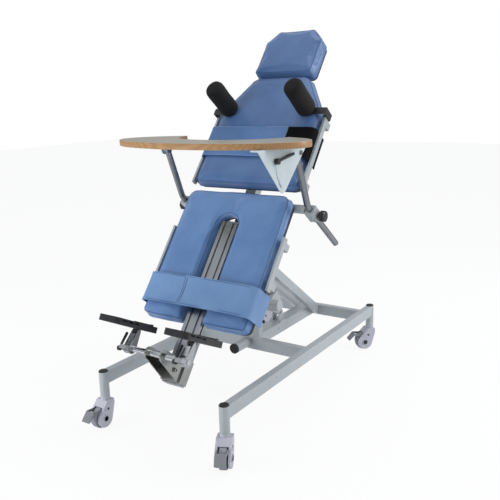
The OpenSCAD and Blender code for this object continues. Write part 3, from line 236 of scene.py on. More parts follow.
def make_light():
    """A broad lamp on each side, one above, and a pale room that is brighter overhead."""
    area_lamp("lamp_right", (2.7, 1.3, 1.9), (0.1, 0.4, 1.3), (1.4, 1.6), 52)
    area_lamp("lamp_front", (-1.7, -2.7, 0.9), (0, -0.40, 0.45), (2.0, 1.4), 54, glossy=False)
    area_lamp("lamp_top", (0.6, 0.9, 4.2), (0, 0, 0.8), (3.0, 3.0), 30)
    world = bpy.data.worlds.new("room")
    bpy.context.scene.world = world
    world.use_nodes = True
    tree = world.node_tree
    tree.nodes.clear()
    out = add(tree, "ShaderNodeOutputWorld")
    lit = set_in(add(tree, "ShaderNodeBackground"), Color=ROOM_TINT)
    height = split_up(tree, add(tree, "ShaderNodeTexCoord").outputs["Generated"])["Z"]
    tree.links.new(spread(tree, height, -0.3, 0.8, ROOM_LOW, ROOM_HIGH,
                          interpolation_type="SMOOTHSTEP"), lit.inputs["Strength"])
    seen = set_in(add(tree, "ShaderNodeBackground"), Color=(1, 1, 1, 1), Strength=1.0)
    camera_mix(tree, out, lit, seen, 1.0)
    bpy.context.scene.view_settings.view_transform = "Standard"


def make_floor():
    """A wide white floor that shows only soft shadows to the camera."""
    bm = bmesh.new()
    bmesh.ops.create_grid(bm, x_segments=1, y_segments=1, size=FLOOR_HALF)
    floor = put("floor", mesh_from("floor", bm))
    mat = bpy.data.materials.new("floor_white")
    mat.use_nodes = True
    tree = mat.node_tree
    tree.nodes.clear()
    out = add(tree, "ShaderNodeOutputMaterial")
    dull = set_in(add(tree, "ShaderNodeBsdfDiffuse"), Color=FLOOR_TONE)
    camera_mix(tree, out, dull, add(tree, "ShaderNodeEmission"), FLOOR_GLOW)
    floor.data.materials.append(mat)


# Shader groups
def new_group(name, inputs, outputs):
    """Makes a group and returns its tree, the values it is given and the sockets of its result."""
    tree = bpy.data.node_groups.new(name, "ShaderNodeTree")
    for label, kind, value in inputs:
        socket = tree.interface.new_socket(label, in_out="INPUT", socket_type="NodeSocket" + kind)
        socket.default_value = value
    for label, kind in outputs:
        tree.interface.new_socket(label, in_out="OUTPUT", socket_type="NodeSocket" + kind)
    return tree, add(tree, "NodeGroupInput").outputs, add(tree, "NodeGroupOutput").inputs


def coat_group():
    """Moulded or painted skin: slow patches of tone, fine grain, and dust where it faces up."""
    tree, given, result = new_group("skin", [
        ("Color", "Color", (0.8, 0.8, 0.8, 1)), ("Patch Color", "Color", (0.7, 0.7, 0.7, 1)),
        ("Patch Scale", "Float", 4.0), ("Patch Share", "Float", 0.4),
        ("Grain Scale", "Float", 900.0), ("Grain Height", "Float", 0.0002),
        ("Smooth", "Float", 0.3), ("Rough", "Float", 0.45),
        ("Dust Color", "Color", (0.6, 0.6, 0.6, 1)), ("Dust Share", "Float", 0.0)],
        [("Color", "Color"), ("Roughness", "Float"), ("Normal", "Vector")])
    at = object_coords(tree)
    patch = spread(tree, noise_tex(tree, at, given["Patch Scale"], 4.0), 0.35, 0.68, 0.0, 1.0)
    fine = noise_tex(tree, at, given["Grain Scale"], 2.0)
    colour = mix_colour(tree, maths(tree, "MULTIPLY", patch, given["Patch Share"]),
                        given["Color"], given["Patch Color"])
    facing = split_up(tree, add(tree, "ShaderNodeNewGeometry").outputs["Normal"])["Z"]
    dust = maths(tree, "MULTIPLY", spread(tree, facing, 0.35, 1.0, 0.0, 1.0), given["Dust Share"])
    specks = spread(tree, noise_tex(tree, at, 60.0, 6.0, 0.7), 0.3, 0.75, 0.0, 1.0)
    colour = mix_colour(tree, maths(tree, "MULTIPLY", dust, specks), colour, given["Dust Color"])
    tree.links.new(colour, result["Color"])
    tree.links.new(spread(tree, noise_tex(tree, at, 17.0, 5.0, 0.6), 0.3, 0.7,
                          given["Smooth"], given["Rough"]), result["Roughness"])
    tree.links.new(bump(tree, fine, 0.6, given["Grain Height"]), result["Normal"])
    return tree


def edge_group():
    """Rubbed edges: a mask from the angle between the rounded and the flat normal."""
    tree, given, result = new_group("edge_wear", [
        ("Color", "Color", (0.5, 0.5, 0.5, 1)), ("Worn Color", "Color", (0.7, 0.7, 0.7, 1)),
        ("Width", "Float", 0.0015), ("Share", "Float", 0.5)],
        [("Color", "Color"), ("Mask", "Float")])
    rounded = add(tree, "ShaderNodeBevel", samples=4)
    tree.links.new(given["Width"], rounded.inputs["Radius"])
    dot = add(tree, "ShaderNodeVectorMath", operation="DOT_PRODUCT")
    tree.links.new(rounded.outputs[0], dot.inputs[0])
    tree.links.new(add(tree, "ShaderNodeNewGeometry").outputs["Normal"], dot.inputs[1])
    edge = spread(tree, dot.outputs["Value"], 0.995, 0.86, 0.0, 1.0)
    broken = spread(tree, noise_tex(tree, object_coords(tree), 140.0, 5.0, 0.7),
                    0.36, 0.62, 0.0, 1.0)
    share = maths(tree, "MULTIPLY", maths(tree, "MULTIPLY", edge, broken), given["Share"])
    tree.links.new(mix_colour(tree, share, given["Color"], given["Worn Color"]), result["Color"])
    tree.links.new(share, result["Mask"])
    return tree


def vinyl_group():
    """Coated cloth: pebbled cells with painted shade between them, slow tone changes and a faint
    pull of the cover.
    """
    tree, given, result = new_group("vinyl", [
        ("Color", "Color", (0.1, 0.2, 0.5, 1)), ("Light Color", "Color", (0.2, 0.3, 0.6, 1)),
        ("Cell Scale", "Float", 620.0), ("Cell Height", "Float", 0.0003),
        ("Pull Scale", "Float", 7.0), ("Smooth", "Float", 0.36), ("Rough", "Float", 0.5)],
        [("Color", "Color"), ("Roughness", "Float"), ("Normal", "Vector")])
    at = object_coords(tree)
    cells = add(tree, "ShaderNodeTexVoronoi", feature="SMOOTH_F1")
    tree.links.new(at, cells.inputs["Vector"])
    tree.links.new(given["Cell Scale"], cells.inputs["Scale"])
    slow = spread(tree, noise_tex(tree, at, given["Pull Scale"], 3.0, 0.5), 0.34, 0.66, 0.0, 1.0)
    tone = mix_colour(tree, slow, given["Color"], given["Light Color"])
    # The cells darken towards their borders: painted shade between the pebbles.
    pit_shade = spread(tree, cells.outputs["Distance"], 0.0, 0.9, 0.0, 0.16)
    tree.links.new(mix_colour(tree, pit_shade, tone, (0.02, 0.05, 0.14, 1)), result["Color"])
    tree.links.new(spread(tree, noise_tex(tree, at, 11.0, 4.0), 0.3, 0.7,
                          given["Smooth"], given["Rough"]), result["Roughness"])
    grain = bump(tree, cells.outputs["Distance"], 0.35, given["Cell Height"])
    pull = bump(tree, noise_tex(tree, at, 16.0, 2.0, 0.4), 0.25, 0.004, grain)
    tree.links.new(pull, result["Normal"])
    return tree


def brushed_group():
    """Drawn or brushed metal: fine lines along one direction of the coordinates it is given."""
    tree, given, result = new_group("brushed", [
        ("Vector", "Vector", (0, 0, 0)), ("Color", "Color", (0.6, 0.6, 0.6, 1)),
        ("Dark Color", "Color", (0.4, 0.4, 0.4, 1)), ("Line Height", "Float", 0.0001),
        ("Smooth", "Float", 0.18), ("Rough", "Float", 0.42)],
        [("Color", "Color"), ("Roughness", "Float"), ("Normal", "Vector")])
    lines = noise_tex(tree, given["Vector"], 1.0, 4.0, 0.65)
    stain = noise_tex(tree, object_coords(tree), 14.0, 5.0, 0.6)
    tone = mix_colour(tree, spread(tree, lines, 0.3, 0.7, 0.0, 0.65),
                      given["Color"], given["Dark Color"])
    tone = mix_colour(tree, spread(tree, stain, 0.5, 0.8, 0.0, 0.35), tone, given["Dark Color"])
    tree.links.new(tone, result["Color"])
    tree.links.new(spread(tree, maths(tree, "ADD", lines, stain), 0.7, 1.3,
                          given["Smooth"], given["Rough"]), result["Roughness"])
    tree.links.new(bump(tree, lines, 0.4, given["Line Height"]), result["Normal"])
    return tree


def wood_group():
    """Long grain with growth bands, for the tray's face and its lipping."""
    tree, given, result = new_group("wood", [
        ("Vector", "Vector", (0, 0, 0)), ("Light Color", "Color", (0.7, 0.5, 0.3, 1)),
        ("Dark Color", "Color", (0.5, 0.3, 0.15, 1)), ("Contrast", "Float", 0.6),
        ("Smooth", "Float", 0.28), ("Rough", "Float", 0.45)],
        [("Color", "Color"), ("Roughness", "Float"), ("Normal", "Vector")])
    warp = set_in(add(tree, "ShaderNodeTexNoise"), Scale=0.7, Detail=4.0)
    tree.links.new(given["Vector"], warp.inputs["Vector"])
    moved = add(tree, "ShaderNodeVectorMath", operation="MULTIPLY_ADD")
    tree.links.new(warp.outputs["Color"], moved.inputs[0])
    moved.inputs[1].default_value = (0.9, 0.9, 0.9)
    tree.links.new(given["Vector"], moved.inputs[2])
    bands = add(tree, "ShaderNodeTexWave", wave_type="BANDS", bands_direction="Y")
    set_in(bands, Scale=1.3, Distortion=3.0, Detail=3.0)
    tree.links.new(moved.outputs[0], bands.inputs["Vector"])
    pores = noise_tex(tree, given["Vector"], 9.0, 6.0, 0.7)
    tone = mix_colour(tree, maths(tree, "MULTIPLY", bands.outputs[1], given["Contrast"]),
                      given["Light Color"], given["Dark Color"])
    tone = mix_colour(tree, spread(tree, pores, 0.5, 0.75, 0.0, 0.4), tone, given["Dark Color"])
    tree.links.new(tone, result["Color"])
    tree.links.new(spread(tree, pores, 0.3, 0.7, given["Smooth"], given["Rough"]),
                   result["Roughness"])
    tree.links.new(bump(tree, pores, 0.25, 0.0002), result["Normal"])
    return tree


def weave_group():
    """Warp and weft over a piece's own map, whose units are metres."""
    tree, given, result = new_group("weave", [
        ("Vector", "Vector", (0, 0, 0)), ("Color", "Color", (0.1, 0.2, 0.5, 1)),
        ("Gap Color", "Color", (0.05, 0.1, 0.3, 1)), ("Threads", "Float", 700.0),
        ("Thread Height", "Float", 0.0004)],
        [("Color", "Color"), ("Normal", "Vector"), ("Height", "Float")])
    sides = split_up(tree, given["Vector"])
    warp, weft = (maths(tree, "SINE", maths(tree, "MULTIPLY", sides[side], given["Threads"]))
                  for side in ("X", "Y"))
    height = spread(tree, maths(tree, "MULTIPLY", warp, weft), -1.0, 1.0, 0.0, 1.0)
    slow = noise_tex(tree, object_coords(tree), 9.0, 3.0)
    # Where the threads dip, the colour goes towards the gap colour: painted shade between the
    # threads. The slow noise below darkens towards the same colour at random.
    tone = mix_colour(tree, spread(tree, height, 0.0, 1.0, 0.55, 0.0),
                      given["Color"], given["Gap Color"])
    tone = mix_colour(tree, spread(tree, slow, 0.4, 0.7, 0.0, 0.3), tone, given["Gap Color"])
    tree.links.new(tone, result["Color"])
    tree.links.new(bump(tree, height, 0.5, given["Thread Height"]), result["Normal"])
    tree.links.new(height, result["Height"])
    return tree


SKIN, EDGES, VINYL = coat_group(), edge_group(), vinyl_group()
BRUSHED, WOOD, WEAVE = brushed_group(), wood_group(), weave_group()


# Materials
def shader(name, **values):
    mat = bpy.data.materials.new(name)
    mat.use_nodes = True
    body = set_in(mat.node_tree.nodes["Principled BSDF"], **values)
    return mat, mat.node_tree, body


def place_group(tree, group, **values):
    return set_in(add(tree, "ShaderNodeGroup", node_tree=group), **values)


def stretched(tree, scale, turn=(0, 0, 0)):
    place = set_in(add(tree, "ShaderNodeMapping"), Scale=scale, Rotation=turn)
    tree.links.new(object_coords(tree), place.inputs["Vector"])
    return place.outputs[0]


def wear(tree, colour, worn, width, share):
    node = place_group(tree, EDGES, Worn_Color=worn, Width=width, Share=share)
    tree.links.new(colour, node.inputs["Color"])
    return node.outputs["Color"]


def join_up(tree, body, group_node, colour=None):
    tree.links.new(colour or group_node.outputs["Color"], body.inputs["Base Color"])
    if "Roughness" in group_node.outputs:
        tree.links.new(group_node.outputs["Roughness"], body.inputs["Roughness"])
    tree.links.new(group_node.outputs["Normal"], body.inputs["Normal"])


def coated(name, colour, patch, worn, smooth, rough, grain=900.0, height=0.0002, patch_scale=4.0,
           dust=0.0, dust_colour=(0.55, 0.55, 0.55, 1), **values):
    mat, tree, body = shader(name, **values)
    node = place_group(tree, SKIN, Color=colour, Patch_Color=patch, Patch_Scale=patch_scale,
                       Patch_Share=0.5, Grain_Scale=grain, Grain_Height=height, Smooth=smooth,
                       Rough=rough, Dust_Color=dust_colour, Dust_Share=dust)
    join_up(tree, body, node, wear(tree, node.outputs["Color"], worn, 0.0015, 0.5))
    return mat


def drawn_metal(name, colour, dark, smooth, rough, stretch, height=0.0001, turn=(0, 0, 0)):
    mat, tree, body = shader(name, Metallic=1.0)
    node = place_group(tree, BRUSHED, Color=colour, Dark_Color=dark, Line_Height=height,
                       Smooth=smooth, Rough=rough)
    tree.links.new(stretched(tree, stretch, turn), node.inputs["Vector"])
    join_up(tree, body, node, wear(tree, node.outputs["Color"], (0.85, 0.86, 0.88, 1), 0.001, 0.5))
    return mat


def timber(name, light, dark, stretch, contrast):
    mat, tree, body = shader(name)
    node = place_group(tree, WOOD, Light_Color=light, Dark_Color=dark, Contrast=contrast)
    tree.links.new(stretched(tree, stretch), node.inputs["Vector"])
    join_up(tree, body, node)
    return mat


def woven(name, colour, gap_shade, threads, height, **values):
    mat, tree, body = shader(name, **values)
    node = place_group(tree, WEAVE, Color=colour, Gap_Color=gap_shade, Threads=threads,
                       Thread_Height=height)
    tree.links.new(add(tree, "ShaderNodeUVMap", uv_map="cloth").outputs[0], node.inputs["Vector"])
    join_up(tree, body, node)
    return mat


def vinyl(name, colour, light, smooth, rough, cell=620.0, **values):
    mat, tree, body = shader(name, **values)
    node = place_group(tree, VINYL, Color=colour, Light_Color=light, Cell_Scale=cell,
                       Smooth=smooth, Rough=rough)
    join_up(tree, body, node)
    return mat


def foam(name):
    mat, tree, body = shader(name, Roughness=0.92)
    at = object_coords(tree)
    pores = set_in(add(tree, "ShaderNodeTexVoronoi"), Scale=420.0)
    tree.links.new(at, pores.inputs["Vector"])
    tone = mix_colour(tree, spread(tree, noise_tex(tree, at, 8.0, 4.0), 0.3, 0.7, 0.0, 1.0),
                      (0.003, 0.003, 0.003, 1), (0.009, 0.008, 0.008, 1))
    # Each pore's centre is darkened: painted shade inside the pores.
    pit_shade = spread(tree, pores.outputs["Distance"], 0.0, 0.35, 0.8, 0.0)
    tree.links.new(mix_colour(tree, pit_shade, tone, (0.002, 0.002, 0.002, 1)),
                   body.inputs["Base Color"])
    tree.links.new(bump(tree, pores.outputs["Distance"], 0.6, 0.0012), body.inputs["Normal"])
    return mat


FRAME_PAINT = coated("frame_paint", (0.43, 0.465, 0.485, 1), (0.34, 0.375, 0.395, 1),
                     (0.66, 0.69, 0.71, 1), smooth=0.26, rough=0.42, grain=700.0, height=0.00025,
                     Metallic=0.25, Coat_Weight=0.25, Coat_Roughness=0.15)
BRACKET_PAINT = coated("bracket_paint", (0.56, 0.63, 0.66, 1), (0.48, 0.55, 0.58, 1),
                       (0.80, 0.84, 0.86, 1), smooth=0.30, rough=0.45, grain=1100.0,
                       height=0.0004, patch_scale=25.0, Coat_Weight=0.2)
DRIVE_CASE = coated("drive_case", (0.46, 0.49, 0.50, 1), (0.38, 0.41, 0.42, 1),
                    (0.66, 0.68, 0.69, 1), smooth=0.32, rough=0.5, dust=0.3)
CASTOR_GREY = coated("castor_grey", (0.50, 0.50, 0.57, 1), (0.42, 0.42, 0.49, 1),
                     (0.66, 0.66, 0.72, 1), smooth=0.28, rough=0.42, dust=0.25,
                     dust_colour=(0.5, 0.5, 0.5, 1), Coat_Weight=0.15)
TYRE_GREY = coated("tyre_grey", (0.30, 0.30, 0.34, 1), (0.23, 0.23, 0.27, 1),
                   (0.38, 0.38, 0.41, 1), smooth=0.55, rough=0.8, dust=0.2)
PEDAL_GREY = coated("pedal_grey", (0.16, 0.17, 0.19, 1), (0.26, 0.27, 0.28, 1),
                    (0.45, 0.46, 0.48, 1), smooth=0.2, rough=0.4, Coat_Weight=0.3)
BLACK_PLASTIC = coated("black_plastic", (0.012, 0.012, 0.014, 1), (0.022, 0.022, 0.025, 1),
                       (0.10, 0.10, 0.11, 1), smooth=0.3, rough=0.5, grain=1200.0, height=0.0003,
                       dust=0.08, dust_colour=(0.12, 0.12, 0.12, 1))
BLACK_RUBBER = coated("black_rubber", (0.010, 0.010, 0.011, 1), (0.018, 0.018, 0.019, 1),
                      (0.06, 0.06, 0.06, 1), smooth=0.5, rough=0.75, dust=0.1,
                      dust_colour=(0.10, 0.10, 0.10, 1))
BOARD = coated("dark_board", (0.020, 0.021, 0.024, 1), (0.035, 0.035, 0.04, 1),
               (0.10, 0.10, 0.10, 1), smooth=0.5, rough=0.7, grain=300.0, height=0.0004)
BUSH = coated("bush_plastic", (0.03, 0.03, 0.035, 1), (0.05, 0.05, 0.055, 1),
              (0.12, 0.12, 0.12, 1), smooth=0.4, rough=0.6)
STAINLESS = drawn_metal("stainless", (0.50, 0.50, 0.48, 1), (0.20, 0.20, 0.19, 1), smooth=0.08,
                        rough=0.30, stretch=(60, 900, 900), turn=(0.9, 0, 0))
BARE_STEEL = drawn_metal("bare_steel", (0.50, 0.51, 0.52, 1), (0.33, 0.34, 0.35, 1), smooth=0.22,
                         rough=0.42, stretch=(900, 60, 900))
ARM_TUBE = drawn_metal("arm_tube", (0.30, 0.31, 0.33, 1), (0.15, 0.16, 0.17, 1), smooth=0.18,
                       rough=0.36, stretch=(700, 700, 20))
CHROME = drawn_metal("foot_chrome", (0.66, 0.67, 0.68, 1), (0.34, 0.345, 0.35, 1), smooth=0.05,
                     rough=0.14, stretch=(20, 300, 300), height=0.00002)
RAIL_ALLOY = drawn_metal("rail_alloy", (0.46, 0.48, 0.50, 1), (0.30, 0.31, 0.33, 1), smooth=0.20,
                         rough=0.40, stretch=(1200, 20, 20), turn=(-TILT, 0, 0))
CLAMP_ALLOY = drawn_metal("clamp_alloy", (0.56, 0.57, 0.58, 1), (0.36, 0.37, 0.38, 1),
                          smooth=0.22, rough=0.42, stretch=(500, 500, 500))
BLUE_VINYL = vinyl("blue_vinyl", (0.092, 0.200, 0.43, 1), (0.135, 0.260, 0.51, 1), smooth=0.32,
                   rough=0.48, Sheen_Weight=0.15, Sheen_Roughness=0.5)
# Darker copy of blue_vinyl for the back and head cushions: painted shade, as they face the same way
# as the leg cushion but get less light.
SHADED_BACK_VINYL = vinyl("back_painted_shade_vinyl", (0.060, 0.135, 0.31, 1), (0.088, 0.178, 0.375, 1), smooth=0.32,
                   rough=0.48, Sheen_Weight=0.15, Sheen_Roughness=0.5)
# Dark blue for the cushions' seam beads and the leg straps' stitching: real seams, darkened as
# painted shade along them and at the leg strap's overlapped end.
SEAM_SHADE_BLUE = vinyl("seam_painted_shade", (0.034, 0.082, 0.215, 1), (0.052, 0.110, 0.260, 1), smooth=0.45,
                  rough=0.6)
STRAP_BLUE = vinyl("strap_blue", (0.125, 0.245, 0.47, 1), (0.170, 0.305, 0.54, 1), smooth=0.34,
                   rough=0.50, cell=900.0)
# Darker copy of the strap blue for the chest strap: painted shade for the less lit upper table.
SHADED_CHEST_BLUE = vinyl("chest_strap_painted_shade", (0.075, 0.165, 0.36, 1), (0.100, 0.205, 0.42, 1), smooth=0.36,
                   rough=0.52, cell=900.0)
# Pale blue for the chest strap's stitching beads along both long edges: real stitching, coloured as
# a painted highlight along the hems.
HEM_HIGHLIGHT_BLUE = vinyl("hem_painted_highlight", (0.24, 0.34, 0.55, 1), (0.30, 0.40, 0.62, 1), smooth=0.35, rough=0.5)
BLACK_LOOP = woven("black_loop", (0.003, 0.003, 0.004, 1), (0.001, 0.001, 0.0015, 1),
                   threads=2600.0, height=0.0006, Roughness=0.95, Specular_IOR_Level=0.2)
TRAY_TOP = timber("tray_top", (0.40, 0.37, 0.30, 1), (0.31, 0.28, 0.21, 1),
                  stretch=(2.2, 30, 30), contrast=0.45)
TRAY_EDGE = timber("tray_edge", (0.44, 0.25, 0.11, 1), (0.29, 0.15, 0.06, 1),
                   stretch=(2.2, 30, 60), contrast=0.6)
BLACK_FOAM = foam("black_foam")

FINISH = {
    "frame_paint": FRAME_PAINT, "bracket_paint": BRACKET_PAINT, "bare_steel": BARE_STEEL,
    "stainless": STAINLESS, "arm_tube": ARM_TUBE, "foot_chrome": CHROME,
    "rail_alloy": RAIL_ALLOY, "clamp_alloy": CLAMP_ALLOY, "bush_plastic": BUSH,
    "black_plastic": BLACK_PLASTIC, "drive_plastic": DRIVE_CASE, "black_rubber": BLACK_RUBBER,
    "blue_vinyl": BLUE_VINYL, "blue_webbing": STRAP_BLUE, "board_ply": BOARD,
    "tray_wood": TRAY_TOP, "black_foam": BLACK_FOAM, "castor_grey": CASTOR_GREY,
    "tyre_grey": TYRE_GREY, "pedal_grey": PEDAL_GREY,
}
NODE_SLOT = {s["node"]: s["material_slot"] for s in frame["record"]["subparts"]}


def dress_nodes():
    for name, obj in nodes.items():
        for place in obj.material_slots:
            place.material = FINISH[NODE_SLOT[name]]


# Pieces
def piece(name, bm, materials, body, smooth, swaps=()):
    """Puts a finished piece into the scene; edges sharper than smooth, in degrees, stay sharp."""
    mesh = mesh_from(name, bm)
    for mat in materials:
        mesh.materials.append(mat)
    obj = put(name, mesh)
    mesh.polygons.foreach_set("use_smooth", [True] * len(mesh.polygons))
    mesh.set_sharp_from_angle(angle=math.radians(smooth))
    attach(obj, body)
    if swaps:
        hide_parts(*swaps)
    return obj


def drop_copy(bm, faces, depth, **values):
    """Extrudes the faces and moves what was made down by depth."""
    made = bmesh.ops.extrude_face_region(bm, geom=faces, **values)
    moved = [v for v in made["geom"] if isinstance(v, bmesh.types.BMVert)]
    bmesh.ops.translate(bm, verts=moved, vec=(0, 0, -depth))
    bmesh.ops.recalc_face_normals(bm, faces=bm.faces)


def plate_from(corners, depth):
    """A flat polygon in the X and Y plane, made into a solid that reaches down by depth."""
    bm = bmesh.new()
    drop_copy(bm, [bm.faces.new([bm.verts.new((x, y, 0)) for x, y in corners])], depth)
    return bm


def round_edges(bm, edges, radius, segments, **values):
    bmesh.ops.bevel(bm, geom=edges, offset=radius, affect="EDGES", segments=segments, profile=0.5,
                    material=-1, **values)


def round_uprights(bm, radii, segments=7):
    """Rounds the edges that stand square to the plate; radii maps a corner to its radius."""
    for corner, radius in radii.items():
        at = Vector(corner)
        edges = [e for e in bm.edges if all((v.co.xy - at).length < 1e-4 for v in e.verts)]
        round_edges(bm, edges, radius, segments)


def pad_outline(kind):
    """The corners of a cushion in the table's plane, and the radius of each."""
    if kind == "leg":
        w, s, half, top = HALF_W, LEG_L, SLOT_HALF, SLOT_L
        corners = [(-w, 0), (-half, 0), (-half, top), (half, top), (half, 0), (w, 0), (w, s),
                   (-w, s)]
        radii = {(-w, 0): LOW_CORNER_R, (w, 0): LOW_CORNER_R,
                 (-half, 0): SLOT_MOUTH_R, (half, 0): SLOT_MOUTH_R,
                 (-half, top): SLOT_END_R, (half, top): SLOT_END_R,
                 (w, s): HIGH_CORNER_R, (-w, s): HIGH_CORNER_R}
        return corners, radii
    if kind == "back":
        w, low, high, top = HALF_W, BACK_S, BACK_END, NECK_HALF
        mid = BACK_S + BACK_FULL
    else:
        w, low, high, top = HEAD_HALF, HEAD_S, HEAD_S + HEAD_L, HEAD_TOP_HALF
        mid = high - HEAD_CORNER_L
    corners = [(-w, low), (w, low), (w, mid), (top, high), (-top, high), (-w, mid)]
    if kind == "head":
        return corners, {c: HEAD_CORNER_R for c in corners}
    radii = {(w, low): LOW_CORNER_R, (-w, low): LOW_CORNER_R,
             (w, mid): HIGH_CORNER_R, (-w, mid): HIGH_CORNER_R,
             (top, high): LOW_CORNER_R, (-top, high): LOW_CORNER_R}
    return corners, radii


def swell(obj, pinned):
    """Blows the cover up a little with cloth, with the side on the board held."""
    group = obj.vertex_groups.new(name="held")
    rest = [v.co.copy() for v in obj.data.vertices]
    group.add([i for i, co in enumerate(rest) if pinned(co)], 1.0, "REPLACE")
    mod = obj.modifiers.new("cloth", "CLOTH")
    cloth = mod.settings
    cloth.quality = 6
    cloth.mass = 0.3
    cloth.tension_stiffness = cloth.compression_stiffness = 18
    cloth.shear_stiffness = 8
    cloth.bending_stiffness = 1.2
    cloth.use_pressure = True
    cloth.uniform_pressure_force = PAD_PRESSURE
    cloth.vertex_group_mass = "held"
    cloth.effector_weights.gravity = 0
    scene = bpy.context.scene
    for number in range(1, CLOTH_FRAMES + 1):
        scene.frame_set(number)
    seen = obj.evaluated_get(bpy.context.evaluated_depsgraph_get()).data
    moved = [v.co.copy() for v in seen.vertices]
    obj.modifiers.remove(mod)
    obj.vertex_groups.remove(group)
    for v, old, new in zip(obj.data.vertices, rest, moved):
        step = new - old
        v.co = old + step * (min(1.0, PAD_CAP / step.length) if step.length > 1e-9 else 0.0)
    scene.frame_set(1)


def remeshed(bm, voxel):
    obj = put("draft", mesh_from("draft", bm))
    mod = obj.modifiers.new("remesh", "REMESH")
    mod.mode = "VOXEL"
    mod.voxel_size = voxel
    seen = obj.evaluated_get(bpy.context.evaluated_depsgraph_get())
    done = bpy.data.meshes.new_from_object(seen)
    obj.modifiers.remove(mod)
    obj.data = done
    return obj


def add_bead(bm, points, radius, closed=True):
    """Adds a thin round bead through the points, in the piece's second material."""
    curve = bpy.data.curves.new("bead", "CURVE")
    curve.dimensions = "3D"
    spline = curve.splines.new("POLY")
    spline.points.add(len(points) - 1)
    for p, co in zip(spline.points, points):
        p.co = (*co, 1)
    spline.use_cyclic_u = closed
    curve.bevel_depth = radius
    curve.bevel_resolution = 1
    curve.use_fill_caps = not closed
    obj = put("bead", curve)
    bpy.context.view_layer.update()
    bead = bmesh.new()
    bead.from_mesh(bpy.data.meshes.new_from_object(obj))
    bpy.data.objects.remove(obj)
    bmesh.ops.remove_doubles(bead, verts=bead.verts, dist=1e-6)
    bmesh.ops.recalc_face_normals(bead, faces=bead.faces)
    start = len(bm.faces)
    bm.from_mesh(mesh_from("bead", bead))
    bm.faces.ensure_lookup_table()
    for f in bm.faces[start:]:
        f.material_index = 1


def rim_points(kind, inset):
    """Points along the rounded outline of a pad, moved in by inset, at even steps."""
    corners, radii = pad_outline(kind)
    bm = plate_from(corners, 0.01)
    round_uprights(bm, radii, 10)
    top = max(bm.faces, key=lambda f: (round(f.calc_center_median().z, 5), f.calc_area()))
    loop = [v.co.copy() for v in top.verts]
    bm.free()
    following = loop[1:] + loop[:1]
    area = sum(a.x * b.y - b.x * a.y for a, b in zip(loop, following))
    shifted = []
    for before, co, after in zip(loop[-1:] + loop[:-1], loop, following):
        along = (after - before).normalized()
        inward = Vector((-along.y, along.x, 0)) * (1 if area > 0 else -1)
        shifted.append(co + inward * inset)
    even = []
    for a, b in zip(shifted, shifted[1:] + shifted[:1]):
        parts = max(1, int((b - a).length / SEAM_STEP))
        even += [a.lerp(b, k / parts) for k in range(parts)]
    return even


def cover_lift(co, corners):
    """How far the cover stands out at a point: slow swells, and puckers near each corner."""
    lift = noise.noise(co * 9.0) * 0.0011 + noise.noise(co * 31.0) * 0.0003
    for x, y in corners:
        gone = (co.xy - Vector((x, y))).length
        if gone < PUCKER_REACH:
            turn = math.atan2(co.y - y, co.x - x)
            lift += (PUCKER_H * (1 - gone / PUCKER_REACH)
                     * math.sin(turn * PUCKER_TURNS + gone * PUCKER_WAVES))
    return lift


def pad(name, kind, node, body, front, thick, cover):
    """A boxed cushion: swollen cover, drawn-in sides, a seam round its front and back edges."""
    corners, radii = pad_outline(kind)
    bm = plate_from(corners, thick)
    round_uprights(bm, radii)
    middle = (sum((Vector(c) for c in corners), Vector((0, 0))) / len(corners)).x
    for level, radius, segments in ((0, 0.010, 3), (-thick, 0.004, 2)):
        rim = [e for e in bm.edges if all(abs(v.co.z - level) < 1e-5 for v in e.verts)]
        round_edges(bm, rim, radius, segments, clamp_overlap=True)
    obj = remeshed(bm, PAD_VOXEL)
    for v in obj.data.vertices:
        v.co.x -= math.copysign(min(PAD_SLACK, abs(v.co.x - middle)), v.co.x - middle)
        v.co.z = -thick + (v.co.z + thick) * (thick - PAD_SLACK) / thick
    swell(obj, lambda co: co.z < -thick + PAD_HELD)
    for v in obj.data.vertices:
        v.co.z += cover_lift(v.co, corners) * min(1.0, (v.co.z + thick) / thick)
    bm = bmesh.new()
    bm.from_mesh(obj.data)
    bpy.data.objects.remove(obj)
    bmesh.ops.smooth_vert(bm, verts=bm.verts, factor=0.5, use_axis_x=True, use_axis_y=True,
                          use_axis_z=True)
    tree = BVHTree.FromBMesh(bm)
    # Seam beads at the front and back edges, in the second material: dark blue, painted shade along
    # the seams.
    for inset, height in ((0.0035, -0.004), (0.001, -thick + 0.006)):
        beads = []
        for p in rim_points(kind, inset):
            near, normal, _, _ = tree.find_nearest(Vector((p.x, p.y, height)))
            beads.append(near + normal * SEAM_SINK)
        add_bead(bm, beads, SEAM_R)
    bmesh.ops.transform(bm, matrix=TABLE @ Matrix.Translation((0, 0, front)), verts=bm.verts)
    obj = piece(name, bm, [cover, SEAM_SHADE_BLUE], body, 50, [node])


def strap_curve(u, half, top):
    """A point of the strap's loop in the X and Z plane; u runs from 0 at the left to 1."""
    a = math.radians(-90 + 180 * u)
    x = half * math.copysign(abs(math.sin(a)) ** (2 / STRAP_POWER), math.sin(a))
    rise = (top - CROSS_BOTTOM) * max(0.0, math.cos(a)) ** (2 / STRAP_POWER)
    return Vector((x, 0, CROSS_BOTTOM + rise))


def strap_share(x, half):
    """Where along the loop the strap reaches x, as a share of it."""
    share = math.copysign(abs(x / half) ** (STRAP_POWER / 2), x)
    return (math.degrees(math.asin(max(-1.0, min(1.0, share)))) + 90) / 180


